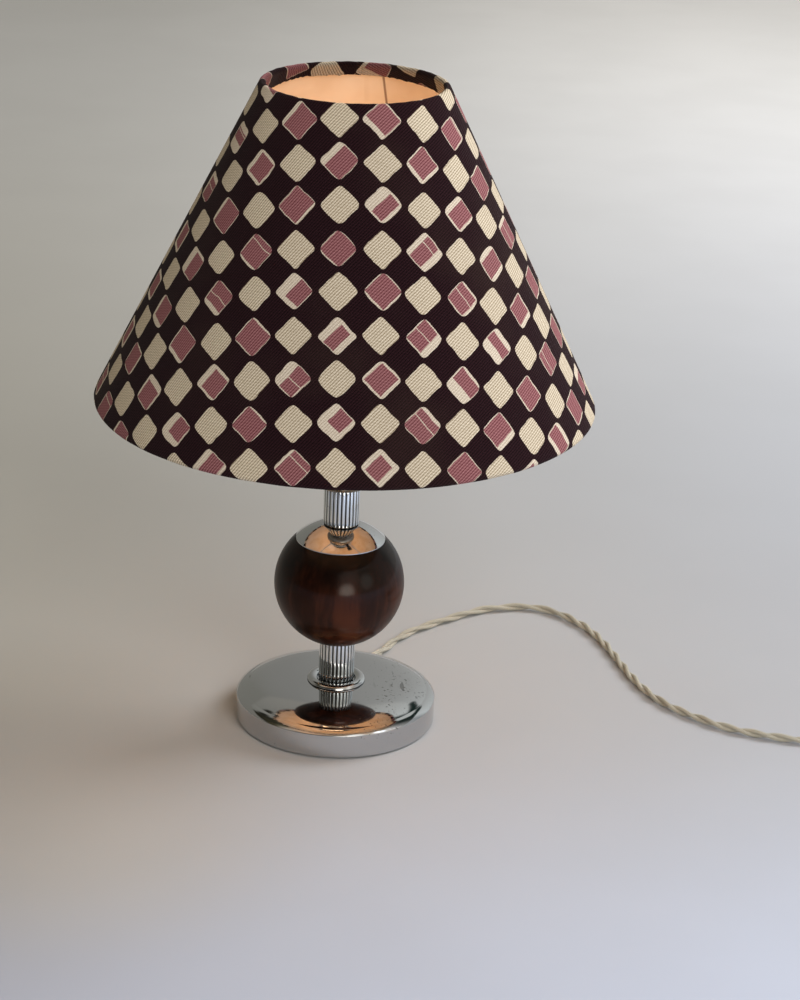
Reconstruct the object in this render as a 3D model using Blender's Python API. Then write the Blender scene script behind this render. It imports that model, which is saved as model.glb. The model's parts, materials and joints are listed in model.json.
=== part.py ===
"""Table lamp: a chromed foot, a reeded column through a lacquered wooden ball, and a cone shade.

Units are metres and +Z is up. The lamp stands on z = 0 with its axis on x = y = 0, and its front faces -Y.
"""

import math

import bmesh
import bpy
from mathutils import Matrix, Vector

# Clearances shared by all the pieces
SEAT_GAP = 0.0003
OVERRUN = 0.002
MERGE_DISTANCE = 0.000002
SHARP_EDGE = math.radians(35)

# Foot: a spun shell over a cast weight, with felt under both
FOOT_RADIUS = 0.056
FOOT_SIDE = 0.0139
SHOULDER_WIDTH = 0.0047
SHOULDER_STEEP = math.radians(50)
SHOULDER_FLAT = math.radians(16)
DOME_GRADIENT = 0.045
DOME_RIM_GRADIENT = math.tan(math.radians(28))
DOME_POWER = 6.5
FOOT_SHEET = 0.0012
FOOT_LIFT = 0.0008
FELT_THICKNESS = 0.0016
SHOULDER_STEPS = 3
DOME_STEPS = 5
DOME_CROWDING = 1.5
FOOT_SEGMENTS = 48

# Tie rod, with the nut and washer that pull the column together
ROD_RADIUS = 0.005
ROD_BORE = 0.0037
ROD_IN_HOLDER = 0.009
NUT_ACROSS_FLATS = 0.0165
NUT_HEIGHT = 0.003
WASHER_RADIUS = 0.010
WASHER_THICKNESS = 0.001
RECESS_RADIUS = 0.0115
WEIGHT_WEB = 0.0032
ROD_SEGMENTS = 20

# Reeded sleeves, one below the ball and one above it
TUBE_RADIUS = 0.010
TUBE_BORE = 0.0085
REED_COUNT = 26
REED_HEIGHT = 0.0008
REED_ROUNDING = 0.0008
UPPER_REACH = 0.0230
TUBE_SOCKET = 0.0025
REED_SHARES = (0.0, 0.78, 1.0, 0.78)

# Collar round the foot of the column
COLLAR_RADIUS = 0.0163
COLLAR_HEIGHT = 0.0024
COLLAR_STEPS = 5
COLLAR_SEGMENTS = 30

# Ball and the chrome cap over its top
BALL_UNDERSIDE = 0.0473
BALL_RADIUS = 0.0362
CAP_PROUD = 0.0002
CAP_SHEET = 0.0008
CAP_ANGLE = math.radians(43.8)
BALL_STEPS = 9
CAP_STEPS = 4
BALL_SEGMENTS = 36

# Lampholder: domed cap, shell, porcelain insert, screw shell and contact
HOLDER_NECK = 0.0127
HOLDER_RADIUS = 0.0195
HOLDER_WALL = 0.0022
HOLDER_DOME = 0.018
HOLDER_CAP_HEIGHT = 0.032
HOLDER_SHELL_HEIGHT = 0.0257
HOLDER_LIP = 0.0029
HOLDER_LIP_HEIGHT = 0.002
LEDGE_WIDTH = 0.0023
LEDGE_HEIGHT = 0.020
BOSS_RADIUS = 0.009
BOSS_HEIGHT = 0.010
INSERT_HEIGHT = 0.0157
CHAMBER_RADIUS = 0.0075
CHAMBER_HEIGHT = 0.0107
SCREW_SHELL_RADIUS = 0.0142
SCREW_SHELL_SHEET = 0.0006
SCREW_SHELL_HEIGHT = 0.0192
CONTACT_WIDTH = 0.006
CONTACT_LENGTH = 0.016
CONTACT_SHEET = 0.0005
CONTACT_RISE = 0.0026
HOLDER_DOME_STEPS = 4
HOLDER_SEGMENTS = 28

# Rotary switch: the key's spindle crosses the holder on a radial axis
KEY_HEIGHT = 0.0247
KEY_ANGLE = math.radians(-55)
SPINDLE_RADIUS = 0.002
SPINDLE_CLEARANCE = 0.0004
KEY_COLLAR_RADIUS = 0.003
KEY_REACH = 0.0155
KEY_WING_WIDTH = 0.0092
KEY_WING_THICKNESS = 0.0044
KEY_WING_LENGTH = 0.0096
KEY_WING_TAPER = 0.62
DRUM_RADIUS = 0.004
DRUM_LENGTH = 0.010
BLADE_SHEET = 0.0005
BLADE_WIDTH = 0.004
SPINDLE_SEGMENTS = 12

# Wiring inside the lamp
CORD_DIAMETER = 0.0046
CORE_DIAMETER = 0.0019
CORE_SPREAD = 0.0012
CORE_STEPS = 5
LEAD_BEND = 0.0052
LEAD_BEND_STEPS = 5
EXIT_HEIGHT = 0.005
EXIT_ANGLE = math.radians(72)
TERMINAL_RADIUS = 0.0025
TERMINAL_HEIGHT = 0.006
TERMINAL_SPREAD = 0.0078

# Cord bush in the side of the foot
BUSH_BORE = 0.0026
BUSH_NECK = 0.0032
BUSH_FLANGE = 0.0041
BUSH_FLANGE_WIDTH = 0.0013
BUSH_NOSE_TIP = 0.0030
BUSH_INSIDE = 0.0045
BUSH_OUTSIDE = 0.015
BUSH_SEGMENTS = 16

# Clamping rings on the holder, and the spider that carries the shade
CLAMP_DEPTH = 0.0097
RING_RADIUS = 0.0245
RING_HEIGHT = 0.004
RING_SEGMENTS = 28
FITTER_BORE = 0.0204
FITTER_RADIUS = 0.027
FITTER_THICKNESS = 0.0015
ARM_RADIUS = 0.0015
ARM_ANGLES = tuple(math.radians(angle) for angle in (90, 210, 330))
ARM_SEGMENTS = 8

# Shade: cloth over a stiff lining, rolled over a wire ring at both edges
SHADE_BOTTOM_RADIUS = 0.136
SHADE_TOP_RADIUS = 0.049
SHADE_HEIGHT = 0.1745
SHADE_LIFT = 0.0017
CLOTH_THICKNESS = 0.0006
LINING_THICKNESS = 0.0004
ROLL_RADIUS = 0.0018
TOP_TURN_IN = 0.0055
BOTTOM_TURN_IN = 0.008
ROLL_STEPS = 3
SHADE_SEGMENTS = 40
WIRE_SIDES = 4

# Bulb
BULB_LENGTH = 0.105
BULB_RADIUS = 0.030
BULB_NECK = 0.0126
BULB_NECK_LENGTH = 0.026
BULB_BELLY = math.radians(-32)
BULB_WALL = 0.001
BULB_CAP_RADIUS = 0.0133
BULB_CAP_SHEET = 0.0004
BULB_CAP_HEIGHT = 0.019
BULB_CAP_CHAMFER = 0.001
BULB_INSULATOR_HEIGHT = 0.0036
BULB_CONTACT_RADIUS = 0.0045
BULB_CONTACT_HEIGHT = 0.001
BULB_SEGMENTS = 24
BULB_STEPS = 4

# Cord: its whole length, the route that lies on the table, and the coil that is put away past it
CORD_LENGTH = 1.8
CORD_SIDE_RESOLUTION = 2
COIL_SIDE_RESOLUTION = 1
CURVE_STEPS = 12
FIT_PASSES = 6
ROUTE_SPACING = 0.0145
COIL_CENTRE = Vector((0.3253, 0.0076))
COIL_ENTRY_ANGLE = math.radians(-99)
COIL_LEAVING_ANGLE = math.radians(24)
COIL_WHOLE_TURNS = 7
COIL_DIAMETERS_ACROSS = 12.4
COIL_SPACE = 0.0005
COIL_LAYERS = 2
COIL_POINTS_PER_TURN = 24
TAIL_LENGTH = 0.036
TIE_ANGLE = math.radians(105)
TIE_WIDTH = 0.009
TIE_THICKNESS = 0.0008
TIE_SAMPLING = 0.00225
TABLE_LIFT = 0.0002

# Points of the route on the table, as x and y, from behind the foot to the coil
ROUTE = (
    (0.0274, 0.0825),
    (0.0334, 0.0945),
    (0.0426, 0.1086),
    (0.0562, 0.1222),
    (0.0718, 0.1348),
    (0.0876, 0.1461),
    (0.1033, 0.1516),
    (0.1190, 0.1532),
    (0.1318, 0.1482),
    (0.1429, 0.1380),
    (0.1529, 0.1232),
    (0.1606, 0.1047),
    (0.1663, 0.0851),
    (0.1728, 0.0602),
    (0.1800, 0.0400),
    (0.1876, 0.0256),
    (0.1975, 0.0134),
    (0.2080, 0.0040),
    (0.2188, -0.0044),
    (0.2320, -0.0112),
    (0.2462, -0.0160),
    (0.2620, -0.0198),
)

# Plug
PLUG_RELIEF_LENGTH = 0.016
PLUG_RELIEF_TIP = 0.0034
PLUG_RELIEF_ROOT = 0.0056
PLUG_LENGTH = 0.034
PLUG_WIDTH = 0.034
PLUG_REAR_WIDTH = 0.016
PLUG_TAPER_LENGTH = 0.012
PLUG_CORNER = 0.005
PLUG_CORNER_STEPS = 2
PIN_RADIUS = 0.0023
PIN_TIP_RADIUS = 0.0012
PIN_LENGTH = 0.019
PIN_SPACING = 0.019
PIN_SEGMENTS = 12

# Signs of a square's four corners
SQUARE = ((-1, -1), (1, -1), (1, 1), (-1, 1))

# The foot's shoulder is part of a circle, and its dome starts where the shoulder ends
SHOULDER_BEND = SHOULDER_WIDTH / (math.sin(SHOULDER_STEEP) - math.sin(SHOULDER_FLAT))
SHOULDER_TOP = FOOT_SIDE + SHOULDER_BEND * (math.cos(SHOULDER_FLAT) - math.cos(SHOULDER_STEEP))
DOME_RADIUS = FOOT_RADIUS - SHOULDER_WIDTH


def foot_top(radius):
    """Height of the dome: flat under the collar, and ever steeper towards its rim."""
    out = max(radius, COLLAR_RADIUS)
    bowed = (DOME_RIM_GRADIENT - DOME_GRADIENT) * DOME_RADIUS / DOME_POWER
    plain = DOME_GRADIENT * (DOME_RADIUS - out)
    return SHOULDER_TOP + plain + bowed * (1 - (out / DOME_RADIUS) ** DOME_POWER)


# Heights of the stack, each from what it stands on
FELT_TOP = FELT_THICKNESS
WEIGHT_BOTTOM = FELT_TOP + SEAT_GAP
FOOT_CROWN = foot_top(0)
WEIGHT_CROWN = FOOT_CROWN - FOOT_SHEET - SEAT_GAP
RECESS_ROOF = WEIGHT_CROWN - WEIGHT_WEB
WASHER_TOP = RECESS_ROOF - SEAT_GAP
NUT_TOP = WASHER_TOP - WASHER_THICKNESS - SEAT_GAP
ROD_BOTTOM = NUT_TOP - NUT_HEIGHT
ROD_HOLE = ROD_RADIUS + SEAT_GAP
BALL_CENTRE = BALL_UNDERSIDE + math.sqrt(BALL_RADIUS**2 - TUBE_RADIUS**2)
TUBE_HOLE = TUBE_RADIUS + SEAT_GAP
LOWER_TUBE_TOP = BALL_UNDERSIDE + TUBE_SOCKET
CAP_RADIUS = BALL_RADIUS + CAP_PROUD
CAP_SEAT = BALL_CENTRE + math.sqrt(CAP_RADIUS**2 - TUBE_HOLE**2)
UPPER_TUBE_BOTTOM = CAP_SEAT + SEAT_GAP
UPPER_TUBE_TOP = CAP_SEAT + UPPER_REACH
HOLDER_FOOT = UPPER_TUBE_TOP + SEAT_GAP
ROD_TOP = HOLDER_FOOT + ROD_IN_HOLDER
LEDGE_TOP = HOLDER_FOOT + LEDGE_HEIGHT
HOLDER_CAP_TOP = HOLDER_FOOT + HOLDER_CAP_HEIGHT
SHELL_BOTTOM = HOLDER_CAP_TOP + SEAT_GAP
HOLDER_TOP = SHELL_BOTTOM + HOLDER_SHELL_HEIGHT
INSERT_BOTTOM = LEDGE_TOP + SEAT_GAP
INSERT_TOP = INSERT_BOTTOM + INSERT_HEIGHT
KEY_AXIS = HOLDER_FOOT + KEY_HEIGHT
CONTACT_BOTTOM = INSERT_TOP + SEAT_GAP
BULB_BOTTOM = CONTACT_BOTTOM + CONTACT_RISE + CONTACT_SHEET + SEAT_GAP
FITTER_BOTTOM = HOLDER_TOP - CLAMP_DEPTH
FITTER_MIDDLE = FITTER_BOTTOM + FITTER_THICKNESS / 2
SHADE_BOTTOM = FITTER_BOTTOM + SHADE_LIFT
SHADE_SLANT = math.hypot(SHADE_BOTTOM_RADIUS - SHADE_TOP_RADIUS, SHADE_HEIGHT)
CORD_RADIUS = CORD_DIAMETER / 2
COIL_BOTTOM = TABLE_LIFT + TIE_THICKNESS + SEAT_GAP
COIL_STEP = CORD_DIAMETER + COIL_SPACE

# Directions along the table
EXIT_DIRECTION = Vector((math.cos(EXIT_ANGLE), math.sin(EXIT_ANGLE), 0))
KEY_DIRECTION = Vector((math.cos(KEY_ANGLE), math.sin(KEY_ANGLE), 0))


def finish(name, colour, roughness, metallic=0.0):
    """A plain material with one colour, roughness and metallic value."""
    material = bpy.data.materials.new(name)
    material.use_nodes = True
    shader = material.node_tree.nodes["Principled BSDF"]
    shader.inputs["Base Color"].default_value = (*colour, 1.0)
    shader.inputs["Roughness"].default_value = roughness
    shader.inputs["Metallic"].default_value = metallic
    material.diffuse_color = (*colour, 1.0)
    return material


def add_object(name, mesh, material):
    """Puts a finished mesh into the scene, shaded smooth between its sharp edges."""
    mesh.materials.append(material)
    mesh.shade_smooth()
    mesh.set_sharp_from_angle(angle=SHARP_EDGE)
    thing = bpy.data.objects.new(name, mesh)
    bpy.context.scene.collection.objects.link(thing)
    return thing


def mesh_from(name, shape):
    """Turns a bmesh into a mesh with its doubles merged and its faces pointing out."""
    bmesh.ops.remove_doubles(shape, verts=shape.verts, dist=MERGE_DISTANCE)
    bmesh.ops.recalc_face_normals(shape, faces=shape.faces)
    mesh = bpy.data.meshes.new(name)
    shape.to_mesh(mesh)
    shape.free()
    return mesh


def turned(name, outline, segments, material):
    """A closed outline of (radius, height) points, spun once round the Z axis."""
    shape = bmesh.new()
    points = [shape.verts.new((radius, 0, height)) for radius, height in outline]
    pairs = zip(points, points[1:] + points[:1])
    edges = [shape.edges.new(pair) for pair in pairs if pair[0].co.x > 0 or pair[1].co.x > 0]
    bmesh.ops.spin(
        shape,
        geom=points + edges,
        cent=(0, 0, 0),
        axis=(0, 0, 1),
        angle=math.tau,
        steps=segments,
        use_merge=True,
    )
    return add_object(name, mesh_from(name, shape), material)


def lofted(name, rings, material):
    """A solid through rings that all have the same number of points, with flat ends."""
    shape = bmesh.new()
    loops = [[shape.verts.new(point) for point in ring] for ring in rings]
    for low, high in zip(loops, loops[1:]):
        for index, point in enumerate(low):
            following = (index + 1) % len(low)
            shape.faces.new((point, low[following], high[following], high[index]))
    shape.faces.new(loops[0][::-1])
    shape.faces.new(loops[-1])
    return add_object(name, mesh_from(name, shape), material)


def extruded(name, outline, depth, material):
    """A flat outline of (x, z) points, made as thick as depth along Y about the middle."""
    return lofted(name, [[(x, side * depth / 2, z) for x, z in outline] for side in (-1, 1)], material)


def tube_along(name, points, radius, resolution, material):
    """A round tube with filled ends through the given points."""
    curve = bpy.data.curves.new(name, "CURVE")
    curve.dimensions = "3D"
    curve.bevel_depth = radius
    curve.bevel_resolution = resolution
    curve.use_fill_caps = True
    spline = curve.splines.new("POLY")
    spline.points.add(len(points) - 1)
    for slot, point in zip(spline.points, points):
        slot.co = (*point, 1)
    curve.materials.append(material)
    thing = bpy.data.objects.new(name, curve)
    bpy.context.scene.collection.objects.link(thing)
    return thing


def cutter(thing):
    """Hides a helper that only cuts."""
    thing.hide_render = True
    thing.display_type = "WIRE"
    return thing


def cut(thing, tool):
    """Takes the tool's shape out of the thing."""
    boolean = thing.modifiers.new(tool.name, "BOOLEAN")
    boolean.operation = "DIFFERENCE"
    boolean.object = cutter(tool)


def placed(thing, place, turn=0.0):
    """Moves a piece to its place, turned about the vertical."""
    thing.matrix_world = Matrix.Translation(place) @ Matrix.Rotation(turn, 4, "Z")
    return thing


def lying(thing, place, direction):
    """Lays a piece that was made along +Z down along a direction."""
    turn = Vector((0, 0, 1)).rotation_difference(direction)
    thing.matrix_world = Matrix.Translation(place) @ turn.to_matrix().to_4x4()
    return thing


def arc(centre, radii, start, end, steps):
    """Points on an upright ellipse or circle, as (radius, height), from one angle to another."""
    turns = [start + (end - start) * step / steps for step in range(steps + 1)]
    return [(centre[0] + radii[0] * math.cos(turn), centre[1] + radii[1] * math.sin(turn)) for turn in turns]


def foot_face(drop, rim, hole):
    """The foot's top from rim to hole, lowered by the given drop."""
    face = []
    for step in range(SHOULDER_STEPS + 1):
        slope = SHOULDER_STEEP + (SHOULDER_FLAT - SHOULDER_STEEP) * step / SHOULDER_STEPS
        inward = (math.sin(SHOULDER_STEEP) - math.sin(slope)) * SHOULDER_BEND / SHOULDER_WIDTH
        rise = SHOULDER_BEND * (math.cos(slope) - math.cos(SHOULDER_STEEP))
        face.append((rim + (DOME_RADIUS - rim) * inward, FOOT_SIDE + rise - drop))
    for step in range(1, DOME_STEPS + 1):
        radius = DOME_RADIUS + (hole - DOME_RADIUS) * (step / DOME_STEPS) ** DOME_CROWDING
        face.append((radius, foot_top(radius) - drop))
    return face


def make_foot(chrome, iron, felt):
    """The chromed shell, the weight inside it and the felt that it stands on."""
    inner_rim = FOOT_RADIUS - FOOT_SHEET
    outside = [(FOOT_RADIUS, FOOT_LIFT)] + foot_face(0, FOOT_RADIUS, ROD_HOLE)
    inside = foot_face(FOOT_SHEET, inner_rim, ROD_HOLE)[::-1] + [(inner_rim, FOOT_LIFT)]
    shell = turned("base_shell", outside + inside, FOOT_SEGMENTS, chrome)
    hole_outline = [
        (0, FOOT_RADIUS - FOOT_SHEET - OVERRUN),
        (BUSH_NECK + SEAT_GAP, FOOT_RADIUS - FOOT_SHEET - OVERRUN),
        (BUSH_NECK + SEAT_GAP, FOOT_RADIUS + OVERRUN),
        (0, FOOT_RADIUS + OVERRUN),
    ]
    hole = turned("bush_hole", hole_outline, BUSH_SEGMENTS, chrome)
    cut(shell, lying(hole, (0, 0, EXIT_HEIGHT), EXIT_DIRECTION))

    weight_rim = inner_rim - SEAT_GAP
    top = foot_face(FOOT_SHEET + SEAT_GAP, weight_rim, ROD_HOLE)
    recess = [
        (ROD_HOLE, RECESS_ROOF),
        (RECESS_RADIUS, RECESS_ROOF),
        (RECESS_RADIUS, WEIGHT_BOTTOM),
        (weight_rim, WEIGHT_BOTTOM),
    ]
    weight = turned("base_weight", top + recess, FOOT_SEGMENTS, iron)
    groove_roof = EXIT_HEIGHT + BUSH_FLANGE
    groove_outline = [
        (0, WEIGHT_BOTTOM - OVERRUN),
        (FOOT_RADIUS, WEIGHT_BOTTOM - OVERRUN),
        (FOOT_RADIUS, groove_roof),
        (0, groove_roof),
    ]
    groove = extruded("cord_groove", groove_outline, 2 * BUSH_FLANGE, iron)
    cut(weight, placed(groove, (0, 0, 0), EXIT_ANGLE))

    disc = [(0, 0), (weight_rim, 0), (weight_rim, FELT_TOP), (0, FELT_TOP)]
    turned("base_felt", disc, FOOT_SEGMENTS, felt)


def make_rod(steel):
    """The hollow tie rod from under the foot to the lampholder, with its nut and washer."""
    pipe = [(ROD_BORE, ROD_BOTTOM), (ROD_RADIUS, ROD_BOTTOM), (ROD_RADIUS, ROD_TOP), (ROD_BORE, ROD_TOP)]
    turned("tie_rod", pipe, ROD_SEGMENTS, steel)
    washer_bottom = WASHER_TOP - WASHER_THICKNESS
    washer = [
        (ROD_HOLE, washer_bottom),
        (WASHER_RADIUS, washer_bottom),
        (WASHER_RADIUS, WASHER_TOP),
        (ROD_HOLE, WASHER_TOP),
    ]
    turned("rod_washer", washer, ROD_SEGMENTS, steel)
    corner = NUT_ACROSS_FLATS / math.sqrt(3)
    flats = [(corner * math.cos(k * math.pi / 3), corner * math.sin(k * math.pi / 3)) for k in range(6)]
    rings = [[(x, y, z) for x, y in flats] for z in (NUT_TOP - NUT_HEIGHT, NUT_TOP)]
    nut = lofted("rod_nut", rings, steel)
    bore = [
        (0, NUT_TOP - NUT_HEIGHT - OVERRUN),
        (ROD_HOLE, NUT_TOP - NUT_HEIGHT - OVERRUN),
        (ROD_HOLE, NUT_TOP + OVERRUN),
        (0, NUT_TOP + OVERRUN),
    ]
    cut(nut, turned("nut_bore", bore, ROD_SEGMENTS, steel))


def reed_ring(height, fullness):
    """One closed loop of reeds, each a rounded ridge, at the given height."""
    ring = []
    valley = TUBE_RADIUS - REED_HEIGHT
    for reed in range(REED_COUNT):
        for step, share in enumerate(REED_SHARES):
            turn = math.tau * (reed + step / len(REED_SHARES)) / REED_COUNT
            radius = valley + REED_HEIGHT * fullness * share
            ring.append((radius * math.cos(turn), radius * math.sin(turn), height))
    return ring


def make_reeded_tube(name, bottom, top, chrome):
    """A sleeve with rounded reeds on its outside and a plain bore."""
    rings = [
        reed_ring(bottom, 0),
        reed_ring(bottom + REED_ROUNDING, 1),
        reed_ring(top - REED_ROUNDING, 1),
        reed_ring(top, 0),
    ]
    tube = lofted(name, rings, chrome)
    low, high = bottom - OVERRUN, top + OVERRUN
    bore = [(0, low), (TUBE_BORE, low), (TUBE_BORE, high), (0, high)]
    cut(tube, turned(name + "_bore", bore, REED_COUNT, chrome))


def make_collar(chrome):
    """The half-round ring that hugs the column on the foot."""
    middle = (COLLAR_RADIUS + TUBE_HOLE) / 2
    half = (COLLAR_RADIUS - TUBE_HOLE) / 2
    crown = arc((middle, FOOT_CROWN + SEAT_GAP), (half, COLLAR_HEIGHT), 0, math.pi, COLLAR_STEPS)
    turned("column_collar", crown, COLLAR_SEGMENTS, chrome)


def make_ball(wood, chrome):
    """The wooden ball, with sockets for both sleeves, and the chrome sheet pressed over its top."""
    rebate = CAP_RADIUS - CAP_SHEET - SEAT_GAP
    low = math.asin(TUBE_HOLE / BALL_RADIUS)
    socket_mouth = BALL_CENTRE - BALL_RADIUS * math.cos(low)
    socket_roof = LOWER_TUBE_TOP + SEAT_GAP
    crown = CAP_SEAT - CAP_SHEET - SEAT_GAP
    crown_angle = math.acos((crown - BALL_CENTRE) / rebate)
    cap_edge = math.pi / 2 - CAP_ANGLE
    centre = (0, BALL_CENTRE)
    outline = [(ROD_HOLE, socket_roof), (TUBE_HOLE, socket_roof), (TUBE_HOLE, socket_mouth)]
    outline += arc(centre, (BALL_RADIUS, BALL_RADIUS), low - math.pi / 2, cap_edge, BALL_STEPS)[1:]
    outline += arc(centre, (rebate, rebate), cap_edge, math.pi / 2 - crown_angle, CAP_STEPS)
    outline += [(ROD_HOLE, crown)]
    turned("ball", outline, BALL_SEGMENTS, wood)

    edge_lift = SEAT_GAP / BALL_RADIUS
    inner = CAP_RADIUS - CAP_SHEET
    seat_angle = math.asin(TUBE_HOLE / CAP_RADIUS)
    inner_angle = math.acos((CAP_SEAT - CAP_SHEET - BALL_CENTRE) / inner)
    rim = cap_edge + edge_lift
    sheet = arc(centre, (CAP_RADIUS, CAP_RADIUS), rim, math.pi / 2 - seat_angle, CAP_STEPS)
    sheet += [(ROD_HOLE, CAP_SEAT), (ROD_HOLE, CAP_SEAT - CAP_SHEET)]
    sheet += arc(centre, (inner, inner), math.pi / 2 - inner_angle, rim, CAP_STEPS)
    turned("ball_cap", sheet, BALL_SEGMENTS, chrome)


def make_holder(nickel, porcelain, brass):
    """The lampholder's shells and the porcelain insert that holds its live parts."""
    inner = HOLDER_RADIUS - HOLDER_WALL
    boss_top = HOLDER_FOOT + BOSS_HEIGHT
    bowl = (HOLDER_RADIUS - HOLDER_NECK, HOLDER_DOME)
    cap = [(ROD_HOLE, HOLDER_FOOT)]
    cap += arc((HOLDER_NECK, HOLDER_FOOT + HOLDER_DOME), bowl, -math.pi / 2, 0, HOLDER_DOME_STEPS)
    cap += [(HOLDER_RADIUS, HOLDER_CAP_TOP), (inner, HOLDER_CAP_TOP), (inner, LEDGE_TOP)]
    cap += [(inner - LEDGE_WIDTH, LEDGE_TOP), (BOSS_RADIUS, boss_top), (ROD_HOLE, boss_top)]
    cap_thing = turned("holder_cap", cap, HOLDER_SEGMENTS, nickel)
    insert_radius = inner - SEAT_GAP
    bore_radius = SPINDLE_RADIUS + SPINDLE_CLEARANCE
    collar_hole = KEY_COLLAR_RADIUS + SPINDLE_CLEARANCE
    key_hole = [
        (0, insert_radius - OVERRUN),
        (collar_hole, insert_radius - OVERRUN),
        (collar_hole, HOLDER_RADIUS + OVERRUN),
        (0, HOLDER_RADIUS + OVERRUN),
    ]
    hole = turned("key_hole", key_hole, SPINDLE_SEGMENTS, nickel)
    cut(cap_thing, lying(hole, (0, 0, KEY_AXIS), KEY_DIRECTION))

    lip_bottom = HOLDER_TOP - HOLDER_LIP_HEIGHT
    lip = inner - HOLDER_LIP
    shell = [(inner, SHELL_BOTTOM), (HOLDER_RADIUS, SHELL_BOTTOM), (HOLDER_RADIUS, HOLDER_TOP)]
    shell += [(lip, HOLDER_TOP), (lip, lip_bottom), (inner, lip_bottom)]
    turned("holder_shell", shell, HOLDER_SEGMENTS, nickel)

    chamber_top = INSERT_BOTTOM + CHAMBER_HEIGHT
    block = [(CHAMBER_RADIUS, INSERT_BOTTOM), (insert_radius, INSERT_BOTTOM), (insert_radius, INSERT_TOP)]
    block += [(0, INSERT_TOP), (0, chamber_top), (CHAMBER_RADIUS, chamber_top)]
    insert = turned("holder_insert", block, HOLDER_SEGMENTS, porcelain)
    crossing = [(0, 0), (bore_radius, 0), (bore_radius, HOLDER_RADIUS), (0, HOLDER_RADIUS)]
    bore = turned("spindle_bore", crossing, SPINDLE_SEGMENTS, porcelain)
    cut(insert, lying(bore, (0, 0, KEY_AXIS), KEY_DIRECTION))

    screw_top = CONTACT_BOTTOM + SCREW_SHELL_HEIGHT
    screw_inner = SCREW_SHELL_RADIUS - SCREW_SHELL_SHEET
    screw = [(screw_inner, CONTACT_BOTTOM), (SCREW_SHELL_RADIUS, CONTACT_BOTTOM)]
    screw += [(SCREW_SHELL_RADIUS, screw_top), (screw_inner, screw_top)]
    turned("screw_shell", screw, HOLDER_SEGMENTS, brass)

    half = CONTACT_LENGTH / 2
    tongue = CONTACT_BOTTOM + CONTACT_RISE
    strip = [
        (-half, CONTACT_BOTTOM),
        (-BULB_CONTACT_RADIUS, CONTACT_BOTTOM),
        (0, tongue),
        (half, tongue),
        (half, tongue + CONTACT_SHEET),
        (-CONTACT_SHEET, tongue + CONTACT_SHEET),
        (-BULB_CONTACT_RADIUS - CONTACT_SHEET, CONTACT_BOTTOM + CONTACT_SHEET),
        (-half, CONTACT_BOTTOM + CONTACT_SHEET),
    ]
    extruded("centre_contact", strip, CONTACT_WIDTH, brass)


def make_switch(resin, brass):
    """The key with its spindle, the drum that it turns, and the blade that the drum meets."""
    bore_start = -DRUM_LENGTH / 2
    outer = HOLDER_RADIUS + SEAT_GAP
    key = turned(
        "switch_key",
        [
            (0, bore_start),
            (SPINDLE_RADIUS, bore_start),
            (SPINDLE_RADIUS, HOLDER_RADIUS - HOLDER_WALL),
            (KEY_COLLAR_RADIUS, HOLDER_RADIUS - HOLDER_WALL),
            (KEY_COLLAR_RADIUS, outer + KEY_REACH),
            (0, outer + KEY_REACH),
        ],
        SPINDLE_SEGMENTS,
        resin,
    )
    wing_end = outer + KEY_REACH + SEAT_GAP
    half_width = KEY_WING_WIDTH / 2
    half_thick = KEY_WING_THICKNESS / 2
    wing_rings = []
    for height, share in ((wing_end - KEY_WING_LENGTH, KEY_WING_TAPER), (wing_end, 1)):
        width = half_width * share
        wing_rings.append([(sx * width, sy * half_thick, height) for sx, sy in SQUARE])
    wing = lofted("key_wing", wing_rings, resin)
    key_place = (0, 0, KEY_AXIS)
    join = key.modifiers.new("wing", "BOOLEAN")
    join.operation = "UNION"
    join.object = cutter(lying(wing, key_place, KEY_DIRECTION))
    lying(key, key_place, KEY_DIRECTION)

    half = DRUM_LENGTH / 2
    bore = SPINDLE_RADIUS + SEAT_GAP
    drum_outline = [(bore, -half), (DRUM_RADIUS, -half), (DRUM_RADIUS, half), (bore, half)]
    lying(turned("switch_drum", drum_outline, SPINDLE_SEGMENTS, resin), key_place, KEY_DIRECTION)

    near = DRUM_RADIUS + SEAT_GAP
    far = near + BLADE_SHEET
    roof = INSERT_BOTTOM + CHAMBER_HEIGHT - SEAT_GAP
    blade = [
        (near, INSERT_BOTTOM),
        (far, INSERT_BOTTOM),
        (far, roof),
        (near - BLADE_SHEET, roof),
        (near - BLADE_SHEET, roof - BLADE_SHEET),
        (near, roof - BLADE_SHEET),
    ]
    turn = KEY_ANGLE + math.pi / 2
    placed(extruded("switch_blade", blade, BLADE_WIDTH, brass), (0, 0, 0), turn)


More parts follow.
